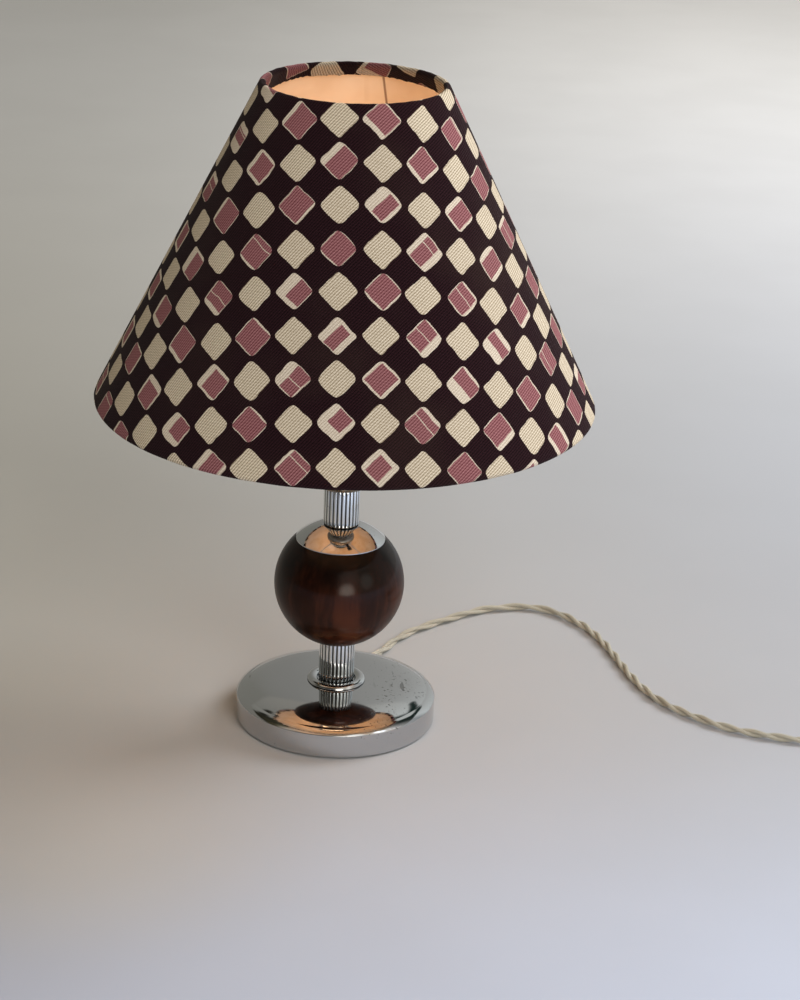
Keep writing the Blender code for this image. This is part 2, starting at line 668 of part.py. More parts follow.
def make_wiring(cloth, core, brass):
    """The lead from the bush through the rod, and its cores to the two terminals."""
    tip = FOOT_RADIUS + BUSH_OUTSIDE
    points = [EXIT_DIRECTION * tip, EXIT_DIRECTION * LEAD_BEND]
    points = [Vector((point.x, point.y, EXIT_HEIGHT)) for point in points]
    for step in range(1, LEAD_BEND_STEPS + 1):
        turn = math.pi / 2 * step / LEAD_BEND_STEPS
        out = LEAD_BEND * (1 - math.sin(turn))
        rise = LEAD_BEND * (1 - math.cos(turn))
        points.append(Vector((EXIT_DIRECTION.x * out, EXIT_DIRECTION.y * out, EXIT_HEIGHT + rise)))
    points.append(Vector((0, 0, ROD_TOP)))
    tube_along("inner_lead", points, CORD_RADIUS, CORD_SIDE_RESOLUTION, cloth)

    terminal_bottom = INSERT_BOTTOM - SEAT_GAP - TERMINAL_HEIGHT
    for number, side in enumerate((-1, 1), 1):
        post = [
            (0, terminal_bottom),
            (TERMINAL_RADIUS, terminal_bottom),
            (TERMINAL_RADIUS, INSERT_BOTTOM - SEAT_GAP),
            (0, INSERT_BOTTOM - SEAT_GAP),
        ]
        terminal = turned(f"terminal_{number}", post, SPINDLE_SEGMENTS, brass)
        placed(terminal, (side * (TERMINAL_SPREAD + SEAT_GAP), 0, 0))
        straight = Vector((0, 0, CORE_DIAMETER / 2))
        start = Vector((side * CORE_SPREAD, 0, ROD_TOP + SEAT_GAP))
        end = Vector((side * TERMINAL_SPREAD, 0, terminal_bottom - SEAT_GAP))
        low, high = start + straight, end - straight
        route = [start]
        for step in range(CORE_STEPS + 1):
            share = step / CORE_STEPS
            across = (1 - math.cos(share * math.pi)) / 2
            route.append(Vector((low.x + (high.x - low.x) * across, 0, low.z + (high.z - low.z) * share)))
        route.append(end)
        tube_along(f"lead_core_{number}", route, CORE_DIAMETER / 2, COIL_SIDE_RESOLUTION, core)


def make_bush(resin):
    """The tapered bush that leads the cord out through the side of the foot."""
    inside = FOOT_RADIUS - FOOT_SHEET
    flange_outer = FOOT_RADIUS + SEAT_GAP
    outline = [
        (BUSH_BORE, inside - BUSH_INSIDE),
        (BUSH_NECK, inside - BUSH_INSIDE),
        (BUSH_NECK, flange_outer),
        (BUSH_FLANGE, flange_outer),
        (BUSH_FLANGE, flange_outer + BUSH_FLANGE_WIDTH),
        (BUSH_NECK, flange_outer + BUSH_FLANGE_WIDTH),
        (BUSH_NOSE_TIP, FOOT_RADIUS + BUSH_OUTSIDE),
        (BUSH_BORE, FOOT_RADIUS + BUSH_OUTSIDE),
    ]
    lying(turned("cord_bush", outline, BUSH_SEGMENTS, resin), (0, 0, EXIT_HEIGHT), EXIT_DIRECTION)


def make_shade_fitting(nickel, wire):
    """Two rings screwed on the holder, with the shade's flat fitter ring clamped between them."""
    hole = HOLDER_RADIUS + SEAT_GAP
    fitter_top = FITTER_BOTTOM + FITTER_THICKNESS
    rings = (
        ("shade_ring_lower", FITTER_BOTTOM - SEAT_GAP - RING_HEIGHT),
        ("shade_ring_upper", fitter_top + SEAT_GAP),
    )
    for name, bottom in rings:
        top = bottom + RING_HEIGHT
        band = [(hole, bottom), (RING_RADIUS, bottom), (RING_RADIUS, top), (hole, top)]
        turned(name, band, RING_SEGMENTS, nickel)
    plate = [
        (FITTER_BORE, FITTER_BOTTOM),
        (FITTER_RADIUS, FITTER_BOTTOM),
        (FITTER_RADIUS, fitter_top),
        (FITTER_BORE, fitter_top),
    ]
    turned("fitter_ring", plate, RING_SEGMENTS, wire)

    hem_radius, hem_height = shade_point(ROLL_RADIUS, 2 * ROLL_RADIUS + SEAT_GAP)
    lean = (SHADE_BOTTOM_RADIUS - SHADE_TOP_RADIUS) / SHADE_HEIGHT
    start_radius = FITTER_RADIUS + SEAT_GAP
    end_radius = hem_radius - ARM_RADIUS * lean - SEAT_GAP
    for number, angle in enumerate(ARM_ANGLES, 1):
        way = Vector((math.cos(angle), math.sin(angle), 0))
        start = way * start_radius + Vector((0, 0, FITTER_MIDDLE))
        end = way * end_radius + Vector((0, 0, hem_height))
        length = (end - start).length
        rod = [(0, 0), (ARM_RADIUS, 0), (ARM_RADIUS, length), (0, length)]
        arm = turned(f"fitter_arm_{number}", rod, ARM_SEGMENTS, wire)
        lying(arm, start, (end - start).normalized())


def shade_point(along, inward):
    """The (radius, height) of a point up the shade's slope and in from its outer face."""
    lean = (SHADE_BOTTOM_RADIUS - SHADE_TOP_RADIUS) / SHADE_SLANT
    rise = SHADE_HEIGHT / SHADE_SLANT
    radius = SHADE_BOTTOM_RADIUS - along * lean - inward * rise
    return radius, SHADE_BOTTOM + along * rise - inward * lean


def roll(along, radius, upward, backward):
    """Half a turn of cloth round a wire ring, from the outer face to the inner one or back."""
    turns = [math.pi * step / ROLL_STEPS for step in range(ROLL_STEPS + 1)]
    half = [
        shade_point(along + upward * radius * math.sin(turn), ROLL_RADIUS - radius * math.cos(turn))
        for turn in turns
    ]
    return half[::-1] if backward else half


def make_shade(cloth, paper, wire):
    """The cloth cone with its rolled edges, its lining, and the wire rings inside the rolls."""
    top = SHADE_SLANT - ROLL_RADIUS
    bottom = ROLL_RADIUS
    under = ROLL_RADIUS - CLOTH_THICKNESS
    lining_face = CLOTH_THICKNESS + SEAT_GAP
    lining_back = lining_face + LINING_THICKNESS
    flap_face = lining_back + SEAT_GAP
    flap_back = flap_face + CLOTH_THICKNESS
    top_edge, bottom_edge = top - TOP_TURN_IN, bottom + BOTTOM_TURN_IN
    cover = roll(top, ROLL_RADIUS, 1, False)
    cover += [shade_point(top_edge, flap_back), shade_point(top_edge, flap_face)]
    cover += roll(top, under, 1, True)
    cover += roll(bottom, under, -1, False)
    cover += [shade_point(bottom_edge, flap_face), shade_point(bottom_edge, flap_back)]
    cover += roll(bottom, ROLL_RADIUS, -1, True)
    turned("shade_cover", cover, SHADE_SEGMENTS, cloth)

    low = bottom + ROLL_RADIUS + SEAT_GAP
    high = top - ROLL_RADIUS - SEAT_GAP
    lining = [
        shade_point(low, lining_face),
        shade_point(high, lining_face),
        shade_point(high, lining_back),
        shade_point(low, lining_back),
    ]
    turned("shade_lining", lining, SHADE_SEGMENTS, paper)

    wire_radius = under - SEAT_GAP
    for name, along in (("top_ring", top), ("bottom_ring", bottom)):
        centre = shade_point(along, ROLL_RADIUS)
        section = arc(centre, (wire_radius, wire_radius), 0, math.tau, WIRE_SIDES)[:-1]
        turned(name, section, SHADE_SEGMENTS, wire)


def make_bulb(glass, cap, black, brass):
    """A pear-shaped bulb on a screw cap."""
    button_top = BULB_BOTTOM + BULB_CONTACT_HEIGHT
    button = [
        (0, BULB_BOTTOM),
        (BULB_CONTACT_RADIUS, BULB_BOTTOM),
        (BULB_CONTACT_RADIUS, button_top),
        (0, button_top),
    ]
    turned("bulb_contact", button, BULB_SEGMENTS, brass)
    cone_bottom = button_top + SEAT_GAP
    cone_top = cone_bottom + BULB_INSULATOR_HEIGHT
    cone_radius = BULB_CAP_RADIUS - BULB_CAP_CHAMFER
    cone = [(0, cone_bottom), (BULB_CONTACT_RADIUS, cone_bottom), (cone_radius, cone_top), (0, cone_top)]
    turned("bulb_insulator", cone, BULB_SEGMENTS, black)
    cap_bottom = cone_top + SEAT_GAP
    cap_top = cap_bottom + BULB_CAP_HEIGHT
    cap_inner = BULB_CAP_RADIUS - BULB_CAP_SHEET
    sleeve = [
        (cone_radius - BULB_CAP_SHEET, cap_bottom),
        (cone_radius, cap_bottom),
        (BULB_CAP_RADIUS, cap_bottom + BULB_CAP_CHAMFER),
        (BULB_CAP_RADIUS, cap_top),
        (cap_inner, cap_top),
        (cap_inner, cap_bottom + BULB_CAP_CHAMFER),
    ]
    turned("bulb_cap", sleeve, BULB_SEGMENTS, cap)

    centre = BULB_BOTTOM + BULB_LENGTH - BULB_RADIUS
    neck_bottom = cap_bottom + BULB_CAP_CHAMFER + SEAT_GAP
    neck_top = BULB_BOTTOM + BULB_NECK_LENGTH
    join_radius = BULB_RADIUS * math.cos(BULB_BELLY)
    join_height = centre + BULB_RADIUS * math.sin(BULB_BELLY)
    outside = [(BULB_NECK, neck_bottom)]
    for step in range(BULB_STEPS):
        share = step / BULB_STEPS
        ease = share * share * (3 - 2 * share) * (1 - share) + share * share
        radius = BULB_NECK + (join_radius - BULB_NECK) * ease
        outside.append((radius, neck_top + (join_height - neck_top) * share))
    outside += arc((0, centre), (BULB_RADIUS, BULB_RADIUS), BULB_BELLY, math.pi / 2, BULB_STEPS)
    inner = BULB_RADIUS - BULB_WALL
    inside = arc((0, centre), (inner, inner), math.pi / 2, BULB_BELLY, BULB_STEPS)
    inside += [(radius - BULB_WALL, height) for radius, height in outside[BULB_STEPS:0:-1]]
    inside += [(BULB_NECK - BULB_WALL, neck_bottom)]
    turned("bulb_glass", outside + inside, BULB_SEGMENTS, glass)


def smooth_curve(points):
    """Points on a Catmull-Rom curve through the given ones."""
    padded = [2 * points[0] - points[1]] + list(points) + [2 * points[-1] - points[-2]]
    curve = []
    for before, start, end, after in zip(padded, padded[1:], padded[2:], padded[3:]):
        for step in range(CURVE_STEPS):
            t = step / CURVE_STEPS
            curve.append(
                0.5
                * (
                    2 * start
                    + (end - before) * t
                    + (2 * before - 5 * start + 4 * end - after) * t**2
                    + (3 * start - before - 3 * end + after) * t**3
                )
            )
    return curve + [points[-1]]


def length_of(points):
    """Length of a run of points."""
    return sum((end - start).length for start, end in zip(points, points[1:]))


def evenly(points, spacing):
    """The same run, read off at even steps close to the spacing."""
    whole = length_of(points)
    count = max(2, round(whole / spacing))
    marks = [whole * mark / count for mark in range(1, count)]
    read, walked = [points[0]], 0.0
    for start, end in zip(points, points[1:]):
        run = (end - start).length
        while marks and walked + run >= marks[0]:
            read.append(start.lerp(end, (marks.pop(0) - walked) / run))
        walked += run
    return read + [points[-1]]


def coil_place(turns, whole_turns, mean_radius):
    """Centre of the cord after some turns: in on the lower layer, then out on the upper one."""
    layer_turns = whole_turns / COIL_LAYERS
    from_middle = turns - layer_turns
    radius = mean_radius + COIL_STEP * (abs(from_middle) - layer_turns / 2)
    climb = min(1, max(0, 2 * from_middle + 0.5))
    angle = COIL_ENTRY_ANGLE + math.tau * turns
    height = COIL_BOTTOM + CORD_RADIUS + COIL_STEP * climb * climb * (3 - 2 * climb)
    flat = COIL_CENTRE + radius * Vector((math.cos(angle), math.sin(angle)))
    return Vector((*flat, height))


def coil_turns():
    """The coil's whole turns, and the part of a turn after which it leaves towards its plug."""
    return COIL_WHOLE_TURNS + (COIL_LEAVING_ANGLE - COIL_ENTRY_ANGLE) / math.tau


def coil_line(mean_radius):
    """The coil's centreline, with a straight end where it meets the cord and another towards the plug."""
    turns = coil_turns()
    count = round(turns * COIL_POINTS_PER_TURN)
    wound = [coil_place(turns * index / count, turns, mean_radius) for index in range(count + 1)]
    way_in = (wound[1] - wound[0]).normalized()
    way_out = (wound[-1] - wound[-2]).normalized()
    way_out.z = 0
    return [wound[0] - way_in * CORD_DIAMETER] + wound + [wound[-1] + way_out.normalized() * TAIL_LENGTH]


def cord_lines():
    """The free cord's centreline and the coil's, which together have the cord's whole length."""
    mean_radius = COIL_DIAMETERS_ACROSS * CORD_DIAMETER / 2
    for _ in range(FIT_PASSES):
        coil = coil_line(mean_radius)
        way_in = (coil[1] - coil[0]).normalized()
        nose = EXIT_DIRECTION * (FOOT_RADIUS + BUSH_OUTSIDE + SEAT_GAP)
        start = Vector((nose.x, nose.y, EXIT_HEIGHT))
        end = coil[0] - way_in * SEAT_GAP
        # Between its two straight ends the cord drops from the bush to the table and follows the route.
        route = [start + EXIT_DIRECTION * CORD_RADIUS]
        route += [Vector((x, y, CORD_RADIUS + TABLE_LIFT)) for x, y in ROUTE]
        route += [end - way_in * CORD_DIAMETER]
        free = [start] + evenly(smooth_curve(route), ROUTE_SPACING) + [end]
        spare = CORD_LENGTH - length_of(free) - length_of(coil)
        mean_radius += spare / (math.tau * coil_turns())
    return free, coil


def least_gap(points):
    """Smallest space between stretches of a coiled cord that aren't next to each other on it."""
    skip = COIL_POINTS_PER_TURN // 2
    pairs = (
        (first - second).length
        for index, first in enumerate(points)
        for second in points[index + skip :]
    )
    return min(pairs) - CORD_DIAMETER


def make_cord(cloth, strap):
    """The cord on the table, the coil of what is left, and the strap round the coil."""
    free, coil = cord_lines()
    tube_along("cord", free, CORD_RADIUS, CORD_SIDE_RESOLUTION, cloth)
    tube_along("cord_coil", coil, CORD_RADIUS, COIL_SIDE_RESOLUTION, cloth)
    print(f"cord {length_of(free) + length_of(coil):.4f} m, coil {coil_turns():.2f} turns")
    print(f"least gap of the coil to itself {least_gap(evenly(coil, ROUTE_SPACING / 3)) * 1000:.2f} mm")

    way = Vector((math.cos(TIE_ANGLE), math.sin(TIE_ANGLE)))
    reaches = [Vector(point[:2]) - COIL_CENTRE for point in evenly(coil, TIE_SAMPLING)]
    near = TIE_WIDTH / 2 + TIE_SAMPLING
    tied = [reach.dot(way) for reach in reaches if reach.dot(way) > 0 and abs(reach.cross(way)) < near]
    slack = SEAT_GAP + CORD_RADIUS
    inner, outer = min(tied) - slack, max(tied) + slack
    low = COIL_BOTTOM - SEAT_GAP
    high = max(point.z for point in coil) + slack
    frame = []
    for grow in (TIE_THICKNESS, 0):
        frame.append([(inner - grow, low - grow), (outer + grow, low - grow)])
        frame[-1] += [(outer + grow, high + grow), (inner - grow, high + grow)]
    strap_thing = extruded("cord_tie", frame[0], TIE_WIDTH, strap)
    window = extruded("tie_window", frame[1], TIE_WIDTH + OVERRUN, strap)
    for thing in (strap_thing, window):
        placed(thing, (*COIL_CENTRE, 0), TIE_ANGLE)
    cut(strap_thing, window)
    return coil


def rounded_box(half_width, half_height, corner, height):
    """A ring in the XY plane with rounded corners, at the given height."""
    ring = []
    for quarter, (sx, sy) in enumerate(((1, 1), (-1, 1), (-1, -1), (1, -1))):
        for step in range(PLUG_CORNER_STEPS + 1):
            turn = math.pi / 2 * (quarter + step / PLUG_CORNER_STEPS)
            x = sx * (half_width - corner) + corner * math.cos(turn)
            y = sy * (half_height - corner) + corner * math.sin(turn)
            ring.append((x, y, height))
    return ring


def make_plug(coil, resin, brass):
    """The two-pin plug on the far end, lying beside the coil with its relief on the cord."""
    way = (coil[-1] - coil[-2]).normalized()
    axis_height = coil[-1].z
    half_thick = axis_height - SEAT_GAP
    up = Vector((0, 0, 1))
    turn = Matrix((way.cross(up), up, way)).transposed()
    frame = Matrix.Translation(coil[-1] + way * SEAT_GAP) @ turn.to_4x4()

    relief_outline = [
        (0, 0),
        (PLUG_RELIEF_TIP, 0),
        (PLUG_RELIEF_ROOT, PLUG_RELIEF_LENGTH),
        (0, PLUG_RELIEF_LENGTH),
    ]
    relief = turned("plug_relief", relief_outline, PIN_SEGMENTS, resin)
    relief.matrix_world = frame

    rear = PLUG_RELIEF_LENGTH + SEAT_GAP
    front = rear + PLUG_LENGTH
    stations = (
        (rear, PLUG_REAR_WIDTH / 2),
        (rear + PLUG_TAPER_LENGTH, PLUG_WIDTH / 2),
        (front - PLUG_CORNER, PLUG_WIDTH / 2),
        (front, PLUG_WIDTH / 2 - PLUG_CORNER / 2),
    )
    rings = [rounded_box(half_width, half_thick, PLUG_CORNER, height) for height, half_width in stations]
    body = lofted("plug_body", rings, resin)
    body.matrix_world = frame
    for number, side in enumerate((-1, 1), 1):
        start = front + SEAT_GAP
        pin_outline = [
            (0, start),
            (PIN_RADIUS, start),
            (PIN_RADIUS, start + PIN_LENGTH - PIN_TIP_RADIUS),
            (PIN_TIP_RADIUS, start + PIN_LENGTH),
            (0, start + PIN_LENGTH),
        ]
        pin = turned(f"plug_pin_{number}", pin_outline, PIN_SEGMENTS, brass)
        pin.matrix_world = frame @ Matrix.Translation((side * PIN_SPACING / 2, 0, 0))


def clear_scene():
    """Removes whatever the scene holds."""
    for thing in list(bpy.data.objects):
        bpy.data.objects.remove(thing)


def make_lamp():
    """Builds every piece in place."""
    chrome = finish("chrome", (0.80, 0.81, 0.83), 0.06, 1.0)
    steel = finish("zinc_steel", (0.62, 0.62, 0.60), 0.35, 1.0)
    iron = finish("cast_iron", (0.10, 0.10, 0.10), 0.7, 0.6)
    felt = finish("green_felt", (0.05, 0.10, 0.07), 0.95)
    wood = finish("lacquered_wood", (0.055, 0.014, 0.006), 0.12)
    nickel = finish("nickel", (0.46, 0.43, 0.38), 0.35, 1.0)
    resin = finish("black_resin", (0.02, 0.02, 0.02), 0.3)
    cream_resin = finish("cream_resin", (0.72, 0.68, 0.55), 0.35)
    porcelain = finish("porcelain", (0.85, 0.84, 0.80), 0.2)
    brass = finish("brass", (0.75, 0.58, 0.28), 0.25, 1.0)
    wire = finish("white_wire", (0.85, 0.84, 0.80), 0.35)
    pattern = finish("shade_cloth", (0.09, 0.045, 0.06), 0.9)
    paper = finish("shade_lining", (0.88, 0.82, 0.72), 0.6)
    glass = finish("opal_glass", (0.95, 0.92, 0.86), 0.2)
    silk = finish("cord_cloth", (0.72, 0.68, 0.54), 0.6)
    strap = finish("strap", (0.6, 0.57, 0.48), 0.7)

    make_foot(chrome, iron, felt)
    make_rod(steel)
    make_collar(chrome)
    make_reeded_tube("lower_tube", FOOT_CROWN + SEAT_GAP, LOWER_TUBE_TOP, chrome)
    make_ball(wood, chrome)
    make_reeded_tube("upper_tube", UPPER_TUBE_BOTTOM, UPPER_TUBE_TOP, chrome)
    make_holder(nickel, porcelain, brass)
    make_switch(resin, brass)
    make_wiring(silk, silk, brass)
    make_bush(cream_resin)
    make_shade_fitting(nickel, wire)
    make_shade(pattern, paper, wire)
    make_bulb(glass, brass, resin, brass)
    coil = make_cord(silk, strap)
    make_plug(coil, cream_resin, brass)


clear_scene()
make_lamp()
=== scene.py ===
# %% [markdown]
# # A table lamp: chrome foot, reeded column, wooden ball, cloth shade
#
# Each cell below makes a piece or a finish of a small table lamp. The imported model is
# the frame: it fixes every size, and the pieces made here are laid over it with the
# detail that a plain solid lacks. Lengths are in metres, +Z is up, and the lamp's axis
# is the Z axis itself, so most pieces are one outline turned about it.

# %% Load the frame
import json
import math
import random

import bmesh
import bpy
from mathutils import Matrix, Vector


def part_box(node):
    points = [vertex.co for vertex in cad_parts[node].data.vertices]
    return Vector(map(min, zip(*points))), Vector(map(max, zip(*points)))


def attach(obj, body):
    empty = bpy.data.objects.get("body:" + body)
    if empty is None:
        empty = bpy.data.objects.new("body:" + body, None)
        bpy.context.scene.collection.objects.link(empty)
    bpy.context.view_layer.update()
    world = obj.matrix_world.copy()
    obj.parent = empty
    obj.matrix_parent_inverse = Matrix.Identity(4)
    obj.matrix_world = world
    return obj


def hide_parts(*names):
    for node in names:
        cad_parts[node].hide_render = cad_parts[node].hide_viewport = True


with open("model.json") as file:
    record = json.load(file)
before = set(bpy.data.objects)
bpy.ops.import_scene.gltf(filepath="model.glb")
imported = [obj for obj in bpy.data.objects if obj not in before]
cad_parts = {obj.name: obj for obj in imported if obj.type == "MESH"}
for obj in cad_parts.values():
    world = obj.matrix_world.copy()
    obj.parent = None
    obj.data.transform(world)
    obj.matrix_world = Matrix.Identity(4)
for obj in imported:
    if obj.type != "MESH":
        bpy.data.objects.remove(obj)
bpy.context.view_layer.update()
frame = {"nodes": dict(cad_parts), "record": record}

# %% [markdown]
# ## The camera
#
# The camera comes first, because the photograph decides it. It was solved from the
# ellipses of the foot, the ball and the shade: 1.38 m in front, 0.68 m up, and turned
# a little to its side. The three directions below are its own right, up and line of
# sight. A long lens keeps the ellipses as flat as they are in the picture.

# %% Camera
CAMERA_PLACE = Vector((0, -1.38029, 0.68024))
CAMERA_RIGHT = Vector((0.999238, -0.007954, 0.038218))
CAMERA_UP = Vector((-0.032575, 0.369585, 0.928626))
CAMERA_SIGHT = Vector((0.021511, 0.929163, -0.369044))

camera_data = bpy.data.cameras.new("camera")
camera_data.lens = 97.2
camera_data.sensor_width = 36
camera_data.clip_start = 0.01
camera = bpy.data.objects.new("camera", camera_data)
bpy.context.scene.collection.objects.link(camera)
axes = Matrix((CAMERA_RIGHT, CAMERA_UP, -CAMERA_SIGHT)).transposed()
camera.matrix_world = Matrix.Translation(CAMERA_PLACE) @ axes.to_4x4()
bpy.context.scene.camera = camera
bpy.context.scene.view_settings.view_transform = "Standard"

# %% [markdown]
# ## Small helpers for node trees
#
# Materials and geometry trees are both made of nodes. A Value is one output of a node
# that behaves like a number, so haze * 0.5 + edge adds the two nodes of that sum. One
# function adds any node, in the tree that its inputs belong to. Colours are written as
# they look on a screen, from 0 to 255, and turned into the light that the shader wants.

# %% Node helpers


def sign(operation, swapped=False):
    """What a sign such as + or / does with a value and a number, or with two values."""
    return lambda self, other: calc(operation, *((other, self) if swapped else (self, other)))


class Value:
    """One output of a node, which can stand in a sum like a number."""

    __add__, __mul__, __pow__ = sign("ADD"), sign("MULTIPLY"), sign("POWER")
    __sub__, __rsub__ = sign("SUBTRACT"), sign("SUBTRACT", swapped=True)
    __truediv__, __rtruediv__ = sign("DIVIDE"), sign("DIVIDE", swapped=True)

    def __init__(self, tree, socket):
        self.tree, self.socket = tree, socket

    def __abs__(self):
        return calc("ABSOLUTE", self)

    def into(self, node, key):
        """Links this value to an input of a node."""
        self.tree.links.new(self.socket, node.inputs[key])


def add(kind, inputs=None, out=0, tree=None, **options):
    """Adds a node, sets its options, links or fills its inputs, and returns one output."""
    inputs = inputs or {}
    tree = tree or next(value.tree for value in inputs.values() if isinstance(value, Value))
    made = tree.nodes.new(kind)
    for name, value in options.items():
        setattr(made, name, value)
    for key, value in inputs.items():
        if isinstance(value, Value):
            value.into(made, key)
        else:
            made.inputs[key].default_value = value
    return Value(tree, made.outputs[out])


def calc(operation, *values):
    """One sum on numbers."""
    return add("ShaderNodeMath", dict(enumerate(values)), operation=operation)


def vector(operation, *values):
    """One sum on vectors that gives a vector."""
    return add("ShaderNodeVectorMath", dict(enumerate(values)), operation=operation)


def measure(operation, *values):
    """One sum on vectors that gives a number."""
    return add("ShaderNodeVectorMath", dict(enumerate(values)), "Value", operation=operation)


def scaled(value, scale):
    """A vector times a number."""
    return add("ShaderNodeVectorMath", {0: value, "Scale": scale}, operation="SCALE")


def split(value):
    """The x, y and z of a vector."""
    made = add("ShaderNodeSeparateXYZ", {0: value}).socket.node
    return [Value(value.tree, socket) for socket in made.outputs]


def ramp(value, start, end, low=0.0, high=1.0):
    """A smooth rise from low to high while the value goes from start to end."""
    sockets = {0: value, 1: start, 2: end, 3: low, 4: high}
    return add("ShaderNodeMapRange", sockets, interpolation_type="SMOOTHSTEP")


def mixed(factor, first, second):
    """One colour over another."""
    return add("ShaderNodeMix", {0: factor, 6: first, 7: second}, 2, data_type="RGBA")


def tone(red, green, blue):
    """A screen colour, from 0 to 255, as light."""
    share = [value / 255 for value in (red, green, blue)]
    return (*(s / 12.92 if s < 0.04045 else ((s + 0.055) / 1.055) ** 2.4 for s in share), 1.0)


# %% [markdown]
# ## Small helpers for finishes
#
# Nearly every real surface varies a little from place to place. The helpers give a
# material its noise, its bump and its own place on the object. The noise reads object
# coordinates, which are metres here, so a scale of 1000 means a grain of a millimetre.

# %% Finish helpers


def finish(name, colour, roughness, **sockets):
    """A new material, its shader, and the place on the object in metres."""
    material = bpy.data.materials.new(name)
    material.use_nodes = True
    material.diffuse_color = colour
    tree = material.node_tree
    shader = tree.nodes["Principled BSDF"]
    for key, value in {"Base_Color": colour, "Roughness": roughness, **sockets}.items():
        shader.inputs[key.replace("_", " ")].default_value = value
    return material, shader, add("ShaderNodeTexCoord", out="Object", tree=tree)


def noise(where, scale, detail=2.0, rough=0.5, stretch=None, out=0):
    """Soft noise; a stretch squeezes it along an axis."""
    if stretch:
        where = vector("MULTIPLY", where, stretch)
    sockets = {"Vector": where, "Scale": scale, "Detail": detail, "Roughness": rough}
    return add("ShaderNodeTexNoise", sockets, out)


def bump(shader, height, depth, strength=1.0):
    """Raises the surface by the height, which goes from 0 to 1, times the depth."""
    sockets = {"Strength": strength, "Distance": depth, "Height": height}
    add("ShaderNodeBump", sockets).into(shader, "Normal")


# %% [markdown]
# ## Chrome
#
# Plated metal on an old lamp is bright, but not perfect: it has a faint haze where it
# was wiped for years, a few short scratches, and dark pits where damp got through. A
# fine noise, cut off high, leaves the pits; a large one says where they gather. The
# grooves between the column's reeds are darker: grime that no cloth reaches, and painted
# shade for the light lost in the narrow grooves. The same recipe takes a radius below
# which both lie.

# %% Chrome finishes


def chrome_finish(name, pits, bright=tone(199, 201, 204), grime_and_shade_below=0.0):
    """Chrome with a wiped haze, pits as asked for, and grime with painted shade below a radius."""
    material, shader, where = finish(name, bright, 0.05, Metallic=1.0)
    parts = split(where)
    haze = noise(where, 45, 3)
    fine = noise(where, 620, 3, 0.6)
    gather = noise(vector("ADD", where, (0.9, 0.2, 0.0)), 38, 2)
    side = ramp(parts[0], -0.02, 0.04, 0.35, 1.0) * ramp(parts[2], 0.009, 0.0135, 0.55, 1.0)
    edge = 0.8 - gather * side * pits
    pit = ramp(fine - edge, 0.0, 0.05)
    scratch = noise(where, 260, 1, 0.5, (1.0, 0.16, 1.0))
    scratch = ramp(scratch, 0.725, 0.75) * ramp(gather, 0.48, 0.58)
    worn = calc("MAXIMUM", pit, scratch * 0.5)
    colour = mixed(worn, bright, tone(70, 68, 64))
    rough = ramp(haze, 0.3, 0.7, 0.035, 0.085)
    # Grime and painted shade: darker below a radius, in the grooves between the reeds.
    if grime_and_shade_below:
        radius = measure("LENGTH", vector("MULTIPLY", where, (1.0, 1.0, 0.0)))
        grime_and_shade = ramp(radius, grime_and_shade_below - 0.0003, grime_and_shade_below, 1.0, 0.0)
        colour = mixed(grime_and_shade * 0.9, colour, tone(58, 54, 49))
        rough = calc("MAXIMUM", rough, grime_and_shade * 0.5)
    colour.into(shader, "Base Color")
    rough.into(shader, "Roughness")
    bump(shader, 1.0 - worn, 0.00006, 0.6)
    return material


worn_chrome = chrome_finish("chrome_worn", 0.33)
bright_chrome = chrome_finish("chrome_bright", 0.10)
cap_chrome = chrome_finish("chrome_cap", 0.30)
reeded_chrome = chrome_finish("chrome_reeded", 0.10, tone(236, 242, 246), 0.0099)

# %% [markdown]
# ## Lacquered wood
#
# The ball is turned wood under a deep, dark, glossy lacquer. The wood's grain is only
# just seen as slightly redder streaks. Its colour is painted near black over the top and
# a lighter red-brown round the underside: painted shade above, and below a painted
# reflection of the table.
# A clear coat on top does the shine, so the coat is smooth and the brown below it is
# rather rough.

# %% Lacquered wood finish


def lacquered_wood_finish():
    """Very dark red-brown grain under a glossy coat, with painted shade on top and a painted reflection
    below.
    """
    colour = tone(34, 18, 11)
    sockets = {"Coat_Weight": 0.32, "Coat_Roughness": 0.13, "Coat_IOR": 1.5}
    sockets["Specular_IOR_Level"] = 0.05
    material, shader, where = finish("lacquered_wood", colour, 0.5, **sockets)
    grain = noise(where, 90, 5, 0.6, (1.0, 1.0, 0.12))
    cloud = noise(where, 32, 2)
    streak = ramp(grain, 0.42, 0.62)
    # Painted light: a lighter red-brown round the underside as a painted reflection of the table, near
    # black over the top as painted shade.
    painted_lit_underside = mixed(streak, tone(46, 18, 7), tone(78, 38, 20))
    dark = mixed(streak, tone(7, 2, 1), tone(24, 10, 5))
    colour = mixed(ramp(split(where)[2], 0.068, 0.108), painted_lit_underside, dark)
    colour = mixed(ramp(cloud, 0.4, 0.68, 0.0, 0.5), colour, tone(14, 7, 4))
    colour.into(shader, "Base Color")
    bump(shader, noise(where, 55, 2), 0.0001, 0.35)
    return material


# %% [markdown]
# ## Moulded, fired and cast finishes
#
# Black resin has a faint orange-peel from its mould. Porcelain is glazed and nearly
# even. Cream resin has yellowed in clouds. Cast iron is grainy, zinc shows its
# crystals, nickel has gone dull, brass is lightly tarnished, and enamel on wire is thick
# and soft. They all share one recipe: two colours mixed by a noise, and a bump from a
# finer one.

# %% Plain finishes


def clouded_finish(slot, first, second, roughness, clouds, grain, depth, metal=0.0):
    """Two tones mixed by a soft noise, with a bump from a finer one."""
    material, shader, where = finish(slot, tone(*first), roughness, Metallic=metal)
    cloud = noise(where, clouds, 4, 0.6)
    mixed(ramp(cloud, 0.35, 0.65), tone(*first), tone(*second)).into(shader, "Base Color")
    rough = ramp(noise(where, clouds * 1.7, 3), 0.3, 0.7, roughness * 0.8, roughness * 1.3)
    rough.into(shader, "Roughness")
    bump(shader, noise(where, grain, 3), depth, 0.5)
    return material


